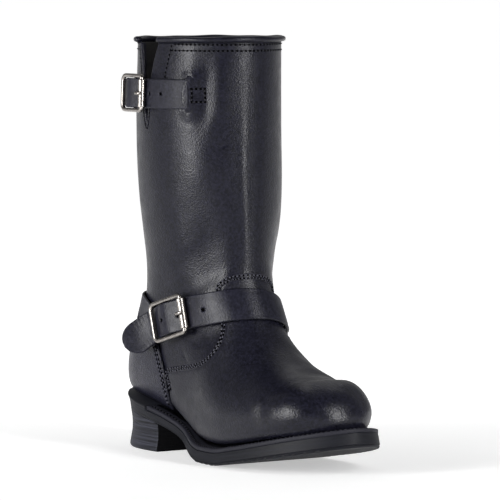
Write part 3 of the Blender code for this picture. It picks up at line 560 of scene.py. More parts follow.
# bright nickel plate over a cast frame: soft mirror with small waves and dulled spots
def nickelPlate():
    made, tree, shader = newMaterial("nickel_plate")
    setInputs(shader, {"Metallic": 1.0})
    cast = noise(tree, bootSpot(tree), 5, 3.0)
    linkInputs(tree, shader, {"Base Color": mixedTone(tree, cast, "#7b7774", "#aca7a2"),
                              "Roughness": ranged(tree, cast, {"To Min": 0.22, "To Max": 0.38}),
                              "Normal": bumped(tree, cast, 0.12, 0.4)})
    return made


# waxed thread
def waxedThread(name, dark, light):
    made, tree, shader = newMaterial(name)
    setInputs(shader, {"Roughness": 0.5, "Specular IOR Level": 0.25})
    twist = noise(tree, bootSpot(tree), 0.8)
    linkInputs(tree, shader, {"Base Color": mixedTone(tree, twist, dark, light)})
    return made


# painted shade of an awl hole: a near black disc where the hole's recess is in shade
def holeShadeMaterial():
    made, tree, shader = newMaterial("awl_hole_painted_shade")
    setInputs(shader, {"Roughness": 0.95, "Specular IOR Level": 0.02})
    shadeMottle = noise(tree, bootSpot(tree), 0.6)
    linkInputs(tree, shader, {"Base Color": mixedTone(tree, shadeMottle, "#010101", "#040405")})
    return made


# vegetable tanned insole leather
def insoleLeather():
    made, tree, shader = newMaterial("insole_leather")
    setInputs(shader, {"Specular IOR Level": 0.3})
    spot = bootSpot(tree)
    cloud = noise(tree, spot, 30, 4.0)
    pore = addNode(tree, "ShaderNodeTexVoronoi", {"Scale": perMm(1.1)}, {"Vector": spot})
    linkInputs(tree, shader, {"Base Color": mixedTone(tree, cloud, "#6e5a44", "#93795b"),
                              "Roughness": ranged(tree, cloud, {"To Min": 0.55, "To Max": 0.75}),
                              "Normal": bumped(tree, pore.outputs["Distance"], 0.08, 0.4)})
    return made


lining = liningLeather()
nickel = nickelPlate()
# black thread given grey tones: the lighter colour is painted sheen
sheenThread = waxedThread("waxed_thread_painted_sheen", "#32323b", "#52525c")
darkThread = waxedThread("dark_thread", "#0d0d12", "#1b1b22")
awlHoleShade = holeShadeMaterial()
insoleTan = insoleLeather()
print("materials made")


# stitches: a thread bead between two awl holes, the holes drawn as dark discs of painted shade, all of one
# seam in one mesh
stitchLook = {"bead": 0.46, "beadLong": 0.27, "lift": 0.16, "holeLong": 1.0, "holeWide": 0.8,
              "holeLift": 0.1}
stitchPlan = []


def stitchRow(path, surface, pitch=3.3, size=1.0):
    spots, outs = [], []
    for p in evenPath(path, pitch):
        place, normal, _, _ = surface.find_nearest(Vector(p))
        spots.append(np.array(place))
        outs.append(np.array(normal))
    for i in range(len(spots) - 1):
        stitchPlan.append((spots[i], spots[i + 1], unit(outs[i] + outs[i + 1]), size))


def shaftStitches(spots, pitch, size=1.0):
    # the same on the shaft's folds, from angle and height
    line = evenPath(smoothPath(np.array([(a * mmPerDegree, z, 0) for a, z in spots], float), 1.0), pitch)
    turn, height = line[:, 0] / mmPerDegree, line[:, 1]
    row = rowOnPlane(turn, height, 0.0, 14.0, 21.0)
    lift = shaftRelief(turn, form(row, turn), True) + 0.15
    place, out = skin(row, turn, lift), skin(row, turn, lift + 1.0)
    for i in range(len(place) - 1):
        stitchPlan.append((place[i], place[i + 1], unit(out[i] - place[i]), size))


def buildStitches(name, cord):
    bm = bmesh.new()
    for a, b, out, size in stitchPlan:
        along = unit(b - a)
        side = unit(np.cross(out, along))
        out = np.cross(along, side)
        half = np.linalg.norm(b - a) * stitchLook["beadLong"]
        thick = stitchLook["bead"] * size
        middle = (a + b) / 2 + out * stitchLook["lift"] * size
        bead = turnedTo(middle, side * thick, out * thick, -along * half)
        bmesh.ops.create_uvsphere(bm, u_segments=6, v_segments=5, radius=1.0, matrix=bead)
        # the awl hole: a flat disc of painted shade just over the leather
        holeShade = turnedTo(a + out * stitchLook["holeLift"], along * stitchLook["holeLong"] * size,
                        side * stitchLook["holeWide"] * size, out)
        made = bmesh.ops.create_circle(bm, cap_ends=True, segments=8, radius=1.0, matrix=holeShade)["verts"]
        made[0].link_faces[0].material_index = 1
    stitchPlan.clear()
    return addPiece(name, bm, [cord, awlHoleShade], None, False)


# upper: shaft and quarters, one shell with its lining, slit on the outer side
upperShell = {"slitAngle": 84.0, "slitTip": 19.65, "slitSpread": 48.0, "lipRound": 1.3, "lipDeep": 0.9,
              "facingFrom": 312.0, "facingThick": 0.9, "openTurn": (240, 312), "openRows": (1.79, 12.59)}
# row, half opening in degrees
slitRows = [(19.65, 0.0), (19.9, 1.5), (20.15, 2.6), (20.5, 5.4), (20.75, 8.8), (21, 13.2)]
# soft folds: angle and height of three points, width mm, depth mm, outwards positive
shaftFolds = [
    ((136, 250), (150, 282), (154, 334), 8.5, 0.6),
    ((134, 258), (139, 284), (139.5, 334), 9.0, -2.0),
    ((131, 212), (131, 236), (130, 258), 14.0, 0.6),
    ((136, 120), (135, 156), (130, 200), 13.0, -1.5),
    ((106, 120), (107, 156), (110, 205), 14.0, 1.3),
    ((171, 140), (170, 215), (171, 322), 5.5, 0.7),
    ((-12, 150), (0, 195), (12, 250), 26.0, 1.2),
    ((199, 160), (203, 220), (206, 300), 14.0, -0.6),
    ((96, 150), (103, 158), (116, 160), 7.0, -0.7),
    ((122.0, 267.2), (125.0, 268.2), (128.5, 267.4), 1.3, -0.8),
    ((149, 248.6), (153, 250.6), (157, 252.4), 1.2, -0.5),
    ((122.0, 270.5), (125.5, 271.5), (129.0, 270.6), 1.8, 0.5),
    ((62, 170), (58, 215), (56, 270), 12.0, 0.9),
    ((40, 165), (38, 210), (36, 260), 13.0, -0.8),
    ((232, 150), (238, 205), (240, 270), 14.0, 0.8),
    ((262, 150), (268, 200), (272, 260), 13.0, -0.8),
    ((300, 150), (306, 205), (310, 270), 15.0, 0.7),
    ((340, 150), (344, 175), (349, 200), 9.0, -0.9),
    ((12, 150), (0, 158), (-14, 154), 7.0, -0.9),
    ((14, 168), (0, 175), (-16, 171), 7.0, 0.6),
]
# wrinkles of the outer quarter under the strap, the same way, in x and z
quarterWrinkles = [
    ((121, 95.5), (129, 95.0), (139, 97.5), 1.5, -0.75),
    ((124, 92.0), (133, 91.0), (144, 93.5), 1.7, -0.6),
    ((120, 98.5), (128, 98.3), (136, 100.2), 1.6, 0.55),
    ((126, 89.0), (135, 88.2), (143, 89.8), 2.0, 0.4),
    ((112, 90.0), (115, 82.0), (121, 75.5), 2.4, -0.35),
    ((130, 87.5), (128, 81.0), (121, 77.0), 3.0, 0.3),
]


def foldRelief(u, v, folds, stretch):
    total = np.zeros(np.broadcast(u, v).shape)
    for a, b, c, width, depth in folds:
        best = np.full(total.shape, 1e9)
        taper = np.zeros(total.shape)
        for start, end, first in ((a, b, True), (b, c, False)):
            dx, dy = (end[0] - start[0]) * stretch, end[1] - start[1]
            px, py = (u - start[0]) * stretch, v - start[1]
            t = np.clip((px * dx + py * dy) / (dx * dx + dy * dy), 0, 1)
            d = np.hypot(px - t * dx, py - t * dy)
            near = d < best
            best = np.where(near, d, best)
            taper = np.where(near, t if first else 1 - t, taper)
        total += depth * hump(best, 0, width) * (0.15 + 0.85 * ease(taper, 0, 0.8))
    return total


# where the top strap goes under the shaft: a slit whose edge stands over the strap
slotLip = {"thick": 1.5, "stand": 3.2, "reach": 8.5, "low": 276.5, "high": 305.5, "round": 0.9,
           "swell": (266, 284, 298, 316), "mouth": (275, 280, 302, 307), "fall": 18}
# height, angle of the slit's edge
slotEdge = [(255, 126.5), (272, 125.6), (278, 124.2), (284, 122.6), (290, 122.0), (296, 122.6), (302, 124.6),
            (308, 126.2), (326, 127.0)]


def slotAway(turn, z):
    # mm along the skin from the slit's edge, to the front
    return (turn - monotone(column(slotEdge, 0), column(slotEdge, 1), z)) * mmPerDegree


def slotBulge(turn, z, over):
    # the shaft stands out over the strap; beside the slot the rise begins behind the edge, in it in front
    away = slotAway(turn, z)
    tall = plateau(z, *slotLip["swell"])
    inside = plateau(z, *slotLip["mouth"])
    rise = ease(away, -7, 4) * (1 - inside) + inside * ease(away, 2.0, 5.0)
    rise = np.where(over, 1.0, rise)
    return slotLip["stand"] * tall * rise * (1 - ease(away, 0, slotLip["fall"]))


def shaftRelief(angle, p, over=False):
    turn = (angle + 30) % 360 - 30
    high = ease(p[..., 2], 118, 150)
    relief = foldRelief(turn, p[..., 2], shaftFolds, mmPerDegree) * high
    relief += slotBulge(turn, p[..., 2], over)
    outer = ease(-p[..., 1], 12, 26) * (1 - high)
    relief += foldRelief(p[..., 0], p[..., 2], quarterWrinkles, 1.0) * outer
    return relief - 0.5 * strapDent(p, 88.0, 9.0)


def slitAngle(row, turn):
    half = np.interp(row, column(slitRows, 0), column(slitRows, 1))
    fromLip = np.minimum(turn, 360 - turn)
    push = half * np.clip(1 - fromLip / upperShell["slitSpread"], 0, 1)
    return upperShell["slitAngle"] + turn + np.where(turn < 180, push, -push)


def buildUpper():
    rows = np.concatenate([[0, 0.3, 0.7, 1.2], np.arange(1.8, 8.4, 0.4), np.arange(8.6, 15.0, 0.1),
                           np.arange(15.0, 20.0, 0.065), np.arange(20.0, 21.0001, 0.025),
                           [12.6, upperShell["slitTip"]]])
    rows = np.unique(rows.round(4))
    steps = [(0, 0.5), (6, 1.5), (160, 4), (240, 6), (312, 1.8), (354, 0.5), (360.01, None)]
    turn = np.unique(stepped(steps).round(3))
    gridRow = np.repeat(rows[:, None], len(turn), 1)
    gridAngle = slitAngle(gridRow, np.repeat(turn[None], len(rows), 0))
    base = form(gridRow, gridAngle)
    lips = np.minimum(turn, 360 - turn)[None] * mmPerDegree
    rounded = 1 - quarterRound(lips, upperShell["lipRound"])
    inSlit = (gridRow > upperShell["slitTip"] + 0.05) * 1.0
    lift = shaftRelief(gridAngle, base) - rounded * inSlit * upperShell["lipDeep"]
    outside = skin(gridRow, gridAngle, lift)
    facing = ease(base[..., 2], upperShell["facingFrom"], upperShell["facingFrom"] + 0.8)
    inside = skin(gridRow, gridAngle, -wall + 0.25 * lift - facing * upperShell["facingThick"])
    inside[0] = inside[0].mean(axis=0)
    slitEdge = np.where(inSlit > 0, np.repeat(lips, len(rows), 0) + 0.3, farFromEdge)
    bm = layGrid(outside, {"edgeDist": slitEdge})
    # open under the foot, where the insole lies
    spot = bm.verts.layers.int["spot"]
    turnFrom, turnTo = upperShell["openTurn"]
    rowFrom, rowTo = upperShell["openRows"]
    gone = []
    for face in bm.faces:
        i, j = divmod(min(v[spot] for v in face.verts), len(turn))
        if turnFrom <= turn[j] < turnTo and rowFrom < rows[i] < rowTo:
            gone.append(face)
    bmesh.ops.delete(bm, geom=gone, context="FACES")
    closeSeams(bm)
    secondSkin(bm, inside, 1)
    return addPiece("upper_shell", bm, [shaftLeather, lining], "upper")


upperPiece = buildUpper()
upperSurface = surfaceOf(upperPiece)
print("upper made", len(upperPiece.data.polygons))


def onShaft(spots, step=1.5):
    # points on the shaft from angle and height
    spots = smoothPath(np.array([(a, z, 0) for a, z in spots], float), step)
    row = rowOnPlane(spots[:, 0], spots[:, 1], 0.0, 14.0, 21.0)
    return skin(row, spots[:, 0], shaftRelief(spots[:, 0], form(row, spots[:, 0])) + 0.4)


# vamp: forepart with its tab up the front of the ankle
vampCut = {"thick": 1.5, "lift": 0.55, "tabMiddle": 176.0, "tabFall": 0.5, "tabFoot": 108.0, "round": 0.9,
           "sides": (48, 312)}
# the toe box is fullest low down: most, from x to x, at which height, how tall
toeFull = {"most": 1.2, "from": 238, "to": 262, "height": 41.0, "tall": 9.0}
# rear edge as angle and row, from the sole up to the middle of the tab
vampEdge = [
    (48, 10.72), (57, 10.92), (67, 11.40), (77, 10.98), (88, 10.58), (98, 10.22), (107, 9.88), (115, 9.67),
    (122, 9.58), (128, 9.62), (132, 9.78), (135, 10.10), (136.5, 10.70), (137.5, 11.40), (139, 11.90),
    (142, 12.14), (148, 12.16), (155, 12.08), (163, 11.97), (170, 11.88), (176, 11.82),
]
# creases across the vamp: x and y of three points, width mm, depth mm
vampFolds = [
    ((250, 60), (244, -5), (236, -64), 7.0, -2.3),
    ((234, 46), (231, 20), (230, -6), 9.0, -2.2),
    ((248, 36), (262, 24), (278, 13), 12.0, 2.7),
    ((264, 22), (268, 4), (264, -14), 19.0, 1.8),
    ((272, -14), (264, -28), (254, -40), 11.0, 1.0),
    ((205, 44), (200, 30), (196, 14), 7.0, -0.4),
    ((170, 36), (163, 28), (158, 20), 4.0, -0.5),
    ((214, -40), (206, -34), (198, -30), 7.0, -0.35),
]


def vampRearRow(angle):
    knots = np.array(vampEdge, float)
    # the inner side mirrors the outer one, about the tab's middle and then about the foot's
    first, last = vampCut["sides"]
    middle = vampCut["tabMiddle"]
    half = np.interp(angle, [first, middle, 220, 232, last], [first, middle, 132, 128, first])
    row = monotone(knots[:, 0], knots[:, 1], half)
    fall = vampCut["tabFall"] * ease(half, 122, 140) * (middle - half) / 32
    return row - np.where(angle > middle, fall, 0)


def vampAngles():
    # closest at the tab's two steep sides
    first, last = vampCut["sides"]
    steps = [(first, 1.2), (118, 0.6), (130, 0.22), (140, 0.6), (150, 1.1), (202, 0.6), (212, 0.22),
             (222, 0.6), (236, 1.2), (last, None)]
    return np.unique(np.append(stepped(steps), last).round(3))


def vampEdgeLine():
    first, last = vampCut["sides"]
    angle = stepped([(first, 0.25), (130, 0.05), (141, 0.25), (211, 0.05), (222, 0.25), (last + 0.1, None)])
    row = vampRearRow(angle)
    return skin(row, angle, np.full(angle.shape, vampCut["lift"] + vampCut["thick"]))


def buildVamp():
    angle = vampAngles()
    edgeRow = vampRearRow(angle)
    share = np.concatenate([[0, 0.01, 0.025, 0.045], np.linspace(0.07, 0.955, 120),
                            [0.963, 0.97, 0.977, 0.983, 0.988, 0.992, 0.9955, 0.998, 1.0]])
    gridRow = share[:, None] * edgeRow[None]
    gridAngle = np.repeat(angle[None], len(share), 0)
    line = evenPath(vampEdgeLine(), 0.4)
    top = vampCut["lift"] + vampCut["thick"]
    flat = skin(gridRow, gridAngle, np.full(gridRow.shape, top))
    dist = distanceTo(flat.reshape(-1, 3), line).reshape(gridRow.shape)
    rounding = 1 - quarterRound(dist, vampCut["round"])
    relief = foldRelief(flat[..., 0], flat[..., 1], vampFolds, 1.0) * ease(flat[..., 2], 32, 52)
    forward = ease(flat[..., 0], toeFull["from"], toeFull["to"])
    relief += toeFull["most"] * forward * hump(flat[..., 2], toeFull["height"], toeFull["tall"])
    relief -= 0.4 * strapDent(flat, 86.0, 10.0) + seamDip(dist, vampSeams, 0.4, 0.8)
    outside = skin(gridRow, gridAngle, top - vampCut["thick"] * rounding * 0.85 + relief)
    inside = skin(gridRow, gridAngle, np.full(gridRow.shape, vampCut["lift"] - 0.3))
    outside[0], inside[0] = outside[0].mean(axis=0), inside[0].mean(axis=0)
    bm = layGrid(outside, {"edgeDist": dist})
    closeSeams(bm)
    secondSkin(bm, inside)
    return addPiece("vamp_panel", bm, [vampLeather], "vamp")


vampPiece = buildVamp()
vampSurface = surfaceOf(vampPiece)
print("vamp made", len(vampPiece.data.polygons))


def insetLine(line, surface, inset):
    # the same line moved to its left along the surface, or to its right where inset is negative
    way = unit(np.gradient(line, axis=0))
    moved = []
    for p, w in zip(line, way):
        _, normal, _, _ = surface.find_nearest(Vector(p))
        moved.append(p + np.cross(np.array(normal), w) * inset)
    return np.array(moved)


def trimmed(line, short):
    # the line without short mm at each end
    run = lengthAlong(line)
    return line[(run > short) & (run < run[-1] - short)]


vampLine = evenPath(vampEdgeLine(), 1.0)
# the second row is half a stitch behind the first
for inset, late in zip(vampSeams, (0, 2)):
    seam = trimmed(insetLine(vampLine, vampSurface, -inset), 12)
    over = np.flatnonzero(seam[:, 2] > vampCut["tabFoot"])
    stitchRow(seam[late:over[0]], vampSurface, 3.9, 1.1)
    stitchRow(seam[over[0]:over[-1]], vampSurface, 3.7, 1.0)
    stitchRow(seam[over[-1] + late:], vampSurface, 3.9, 1.1)
buildStitches("vamp_stitches", sheenThread)


# counter: cover round the heel
counterCut = {"thick": 2.2, "lift": 0.85, "seatFall": -0.166, "round": 1.1}
# level above the heel seat, x of the front edge
counterEdge = [(4.4, 89.0), (9, 89.8), (17, 90.0), (26, 89.4), (35, 87.8), (43, 85.4), (50, 82.2),
               (58, 77.4)]


def counterGrid(heights, columns):
    rows, angles = [], []
    nearEdge = np.array([0, 0.004, 0.009, 0.016, 0.025, 0.036, 0.05])
    sweep = np.linspace(0, 120, 121)
    back = float(seat(0))
    for height in heights:
        edgeX = np.interp(height, column(counterEdge, 0), column(counterEdge, 1))
        limits = []
        for side in (1, -1):
            row = rowOnPlane(side * sweep, back + height, counterCut["seatFall"], 9.5, 18.0)
            limits.append(side * np.interp(edgeX, form(row, side * sweep)[:, 0], sweep))
        share = np.concatenate([nearEdge, np.linspace(0.065, 0.935, columns), 1 - nearEdge[::-1]])
        angle = limits[0] + (limits[1] - limits[0]) * share
        angles.append(angle)
        rows.append(rowOnPlane(angle, back + height, counterCut["seatFall"], 9.5, 18.0))
    return np.array(rows), np.array(angles)


def buildCounter():
    heights = np.concatenate([[4.4, 5.2, 6.2, 7.4], np.linspace(9, 54, 46), [55.2, 56.2, 57, 57.6, 58]])
    rows, angles = counterGrid(heights, 100)
    top = counterCut["lift"] + counterCut["thick"]
    flat = skin(rows, angles, np.full(rows.shape, top))
    outline = np.concatenate([flat[:, 0], flat[-1], flat[::-1, -1]])
    dist = distanceTo(flat.reshape(-1, 3), evenPath(outline, 0.4)).reshape(rows.shape)
    rounding = 1 - quarterRound(dist, counterCut["round"])
    dip = seamDip(dist, counterSeams, 0.3, 0.9)
    outside = skin(rows, angles, top - counterCut["thick"] * 0.85 * rounding - dip)
    inside = skin(rows, angles, np.full(rows.shape, counterCut["lift"] - 0.4))
    bm = layGrid(outside, {"edgeDist": dist})
    secondSkin(bm, inside)
    return addPiece("counter_panel", bm, [counterLeather], "counter"), outline


counterPiece, counterOutline = buildCounter()
counterSurface = surfaceOf(counterPiece)
counterLine = evenPath(counterOutline, 1.0)
for inset in counterSeams:
    seam = trimmed(insetLine(counterLine, counterSurface, inset), 6)
    stitchRow(seam, counterSurface, 3.9, 1.15)
buildStitches("counter_stitches", sheenThread)
print("counter made")


# collar: rolled edge, from one lip of the slit round to the other
collarRoll = {"halfWidth": 2.95, "height": 4.6, "out": 1.76, "gap": 0.2, "sides": 20, "endRound": 1.6,
              "curl": 1.4, "curlLong": 12}
# the rolled edge isn't quite level: mm, waves round the collar, start in degrees
collarWaves = [(0.25, 5, 0), (0.18, 11, 40)]


def buildCollar():
    turn = np.linspace(0, 360, 241)
    row = np.full(turn.shape, float(topRow))
    angle = slitAngle(row, turn)
    rim = skin(row, angle, np.full(turn.shape, -wall / 2))
    out = skin(row, angle, np.full(turn.shape, 1.0)) - rim
    out[:, 2] = 0
    out = unit(out)
    wave = sum(deep * np.sin(np.radians(turn * count + start)) for deep, count, start in collarWaves)
    ends = np.minimum(turn, 360 - turn) * mmPerDegree
    small = (quarterRound(ends, collarRoll["endRound"]) * 0.85 + 0.15)[:, None]
    # the rear lip's end curls outwards
    long = collarRoll["curlLong"]
    curl = collarRoll["curl"] * ease(long - ends, 0, long) * (turn > 180)
    ring = np.arange(collarRoll["sides"]) * 2 * math.pi / collarRoll["sides"]
    side = (collarRoll["out"] + curl)[:, None] + collarRoll["halfWidth"] * np.cos(ring)[None] * small
    # flat under, rounder over: a folded edge
    bulge = 0.5 + 0.5 * np.sign(np.sin(ring)) * np.abs(np.sin(ring)) ** 0.8
    up = collarRoll["gap"] + (collarRoll["height"] + wave)[:, None] * (0.5 + (bulge - 0.5)[None] * small)
    points = rim[:, None] + out[:, None] * side[..., None] + np.stack([0 * up, 0 * up, up], -1)
    bm = layGrid(joined(points), {"edgeDist": np.full((len(turn), len(ring) + 1), farFromEdge)})
    closeSeams(bm)
    closeEnds(bm)
    addPiece("collar_roll", bm, [shaftLeather], "collar_binding")


buildCollar()
# hem: one row close under the roll, one lower, both stop short of the slit
for height, first, last in ((330.2, 114, 424), (325.4, 111.5, 426)):
    sweep = np.linspace(first, last, 240)
    row = rowOnPlane(sweep, height, 0.0, 18.0, 21.0)
    stitchRow(skin(row, sweep, shaftRelief(sweep % 360, form(row, sweep)) + 0.4), upperSurface, 3.7, 1.1)
# margins of the slit, and round its tip
stitchRow(onShaft([(110.6, 329), (107.8, 316), (105.2, 302), (103.6, 290)]), upperSurface, 3.6, 1.1)
stitchRow(onShaft([(67.0, 329), (71.5, 316), (75.5, 302), (77.3, 290)]), upperSurface)
stitchRow(onShaft([(90.8, 288), (88.8, 277), (86.4, 266), (84.0, 262), (81.6, 266), (79.2, 277),
                   (77.2, 288)]), upperSurface)
buildStitches("shaft_stitches", darkThread)
print("collar made")


# lip of the slot: the shaft's own leather where it stands over the strap
def buildSlotLip():
    heights = np.linspace(slotLip["low"], slotLip["high"], 60)
    left = monotone(column(slotEdge, 0), column(slotEdge, 1), heights)
    share = np.concatenate([[0, 0.012, 0.028, 0.05, 0.08], np.linspace(0.12, 1.0, 30)])
    angle = left[:, None] + slotLip["reach"] / mmPerDegree * share[None]
    row = rowOnPlane(angle, np.repeat(heights[:, None], len(share), 1), 0.0, 17.0, 21.0)
    base = form(row, angle)
    away = slotAway(angle, base[..., 2])
    rim = np.minimum(heights - slotLip["low"], slotLip["high"] - heights)
    sunk = np.maximum(1 - ease(rim, 0, 3.0)[:, None], ease(away, 4.5, 8.0))
    lift = shaftRelief(angle, base, True) + 0.15 - 0.45 * sunk
    outside = skin(row, angle, lift - (1 - quarterRound(away, slotLip["round"])))
    inside = skin(row, angle, np.maximum(lift - slotLip["thick"], -0.8))
    bm = layGrid(outside, {"edgeDist": np.maximum(away, 0) + 0.2})
    secondSkin(bm, inside)
    addPiece("slot_lip", bm, [shaftLeather], None)


buildSlotLip()
boxCorners = [(129.6, 295.4), (139.0, 295.4), (139.2, 285.0), (129.6, 285.0), (129.6, 295.4)]
for start, end in zip(boxCorners, boxCorners[1:]):
    shaftStitches([start, ((start[0] + end[0]) / 2, (start[1] + end[1]) / 2), end], 3.4, 1.25)
buildStitches("box_stitches", darkThread)


# straps: height of the plane's middle at x 0, its slope, half width and thickness
instepStrap = {"height": 88.0, "slope": strapSlope, "half": 12.9, "thick": 2.6}
instepChape = {"height": 119.0, "slope": -0.07, "half": 11.0, "thick": 1.8}
topStrap = {"height": 290.9, "slope": 0.0, "half": 11.8, "thick": 2.6}
topChape = {"height": 290.9, "slope": 0.0, "half": 10.0, "thick": 1.8}
# buckles: middle of the frame, its turn, slope and lean in degrees, sizes, drop of the middle bar
instepBuckle = {"middle": (107.5, -47.2, 110.9), "angles": (10.0, 17.0, 3.0), "halfLong": 18.6,
                "halfWide": 15.0, "bar": 1.7, "roller": 3.3, "drop": 3.4}
topBuckle = {"middle": (78.4, -62.2, 290.9), "angles": (0.0, 0.0, 2.0), "halfLong": 14.3,
             "halfWide": 13.8, "bar": 1.6, "roller": 2.9, "drop": 3.4}
# angle, lift off the last, drop below the plane
instepOnBoot = [(272, 1.0, 12.0), (264, 1.0, 12.8), (255, 1.0, 13.0), (244, 1.6, 12.5), (232, 2.6, 11.5),
                (221, 3.0, 9.5), (210, 3.0, 7.2), (200, 3.0, 5.2), (190, 3.0, 3.6), (180, 3.0, 2.4),
                (170, 3.0, 1.5), (160, 3.0, 0.8), (150, 3.0, 0.3), (141, 3.0, 0.0), (132, 3.0, 0.0),
                (124, 3.0, 0.0)]
topOnBoot = [(127, 0.5, 0), (118, 0.6, 0), (111, 0.7, 0), (104, 0.8, 0)]
chapeOnBoot = [(a, 1.3, 0) for a in (60, 48, 36, 24, 12, 0, -12, -24, -36)]
chapeOnBoot += [(-48, 1.3, 0.5), (-60, 1.3, 1.8), (-72, 1.3, 4.2), (-81, 1.3, 7.0)]
topChapeOnBoot = [(a, 0.6, 0) for a in (42, 33, 24, 15)]
# along the strap from the middle bar, out from the frame's plane, drift across, lean
instepInBuckle = [(24.5, -6.5, 0, 0), (18.6, -6.3, 0, 0), (9.3, -2.7, 0, 0), (0, 0.5, 0, 0),
                  (-7, -0.8, 0, 0), (-13, -3.6, 0, 0), (-18.6, -5.5, 0, 0), (-26, -5.4, -1.0, 4),
                  (-37, -0.8, -5.6, 14), (-49, 6.5, -12.0, 20)]
topInBuckle = [(23, -6.2, 0, 0), (14.3, -5.9, 0, 0), (7.2, -2.6, 0, 0), (0, 0.4, 0, 0), (-5.5, -0.7, 0, 0),
               (-10, -3.5, 0, 0), (-14.3, -5.3, 0, 0), (-21, -6.8, 0, 0)]
chapeLoop = [(-6, -1.9), (-3, -1.75), (0, -1.72), (1.22, -1.22), (1.72, 0), (1.22, 1.22), (0, 1.72)]
instepTail = [(-5, -2.4, 0, 0), (-11, -5.0, 0, 0), (-18.6, -8.6, 1.6, -8), (-27, -10.6, 4.8, -16)]
topTail = [(-4, -2.3, 0, 0), (-9, -5.7, 0, 0), (-14.3, -7.9, 0, 0), (-21, -10.2, 0, 0)]


def buckleAxes(buckle):
    turn, slope, lean = (math.radians(a) for a in buckle["angles"])
    flat = np.array([math.cos(turn), math.sin(turn), 0.0])
    out = np.array([math.sin(turn), -math.cos(turn), 0.0])
    up = np.array([0.0, 0.0, 1.0])
    along = flat * math.cos(slope) + up * math.sin(slope)
    across = up * math.cos(slope) - flat * math.sin(slope)
    return (along, across * math.cos(lean) - out * math.sin(lean),
            out * math.cos(lean) + across * math.sin(lean))


def inBuckle(buckle, along, out, across=0.0):
    wayAlong, wayAcross, wayOut = buckleAxes(buckle)
    return np.array(buckle["middle"]) + wayAlong * along + wayOut * out + wayAcross * across


def bootStations(plane, table):
    # middle of the strap and the way across it, where it lies on the boot
    angles, lift, drop = (np.array(column(table, k), float) for k in range(3))
    rise = plane["half"] * math.sqrt(1 + plane["slope"]**2)
    top = skin(rowOnPlane(angles, plane["height"] - drop + rise, plane["slope"]), angles, lift)
    low = skin(rowOnPlane(angles, plane["height"] - drop - rise, plane["slope"]), angles, lift)
    return np.concatenate([(top + low) / 2, unit(top - low)], 1)


def buckleStations(buckle, table):
    # the same where it goes through its buckle
    wayAlong, wayAcross, _ = buckleAxes(buckle)
    rows = []
    for along, out, across, lean in table:
        lean = math.radians(lean)
        rows.append(np.concatenate([inBuckle(buckle, along, out, across),
                                    wayAcross * math.cos(lean) + wayAlong * math.sin(lean)]))
    return np.array(rows)


# edges of a strap: rounded, with a crease pressed in beside them, on a face that is a little crowned
strapEdge = {"round": 0.9, "crown": 0.1, "creaseIn": 2.6, "creaseWide": 0.7, "creaseDeep": 0.16,
             "lowRound": 0.7, "seamIn": 3.4}
holeShadeDiscs = []


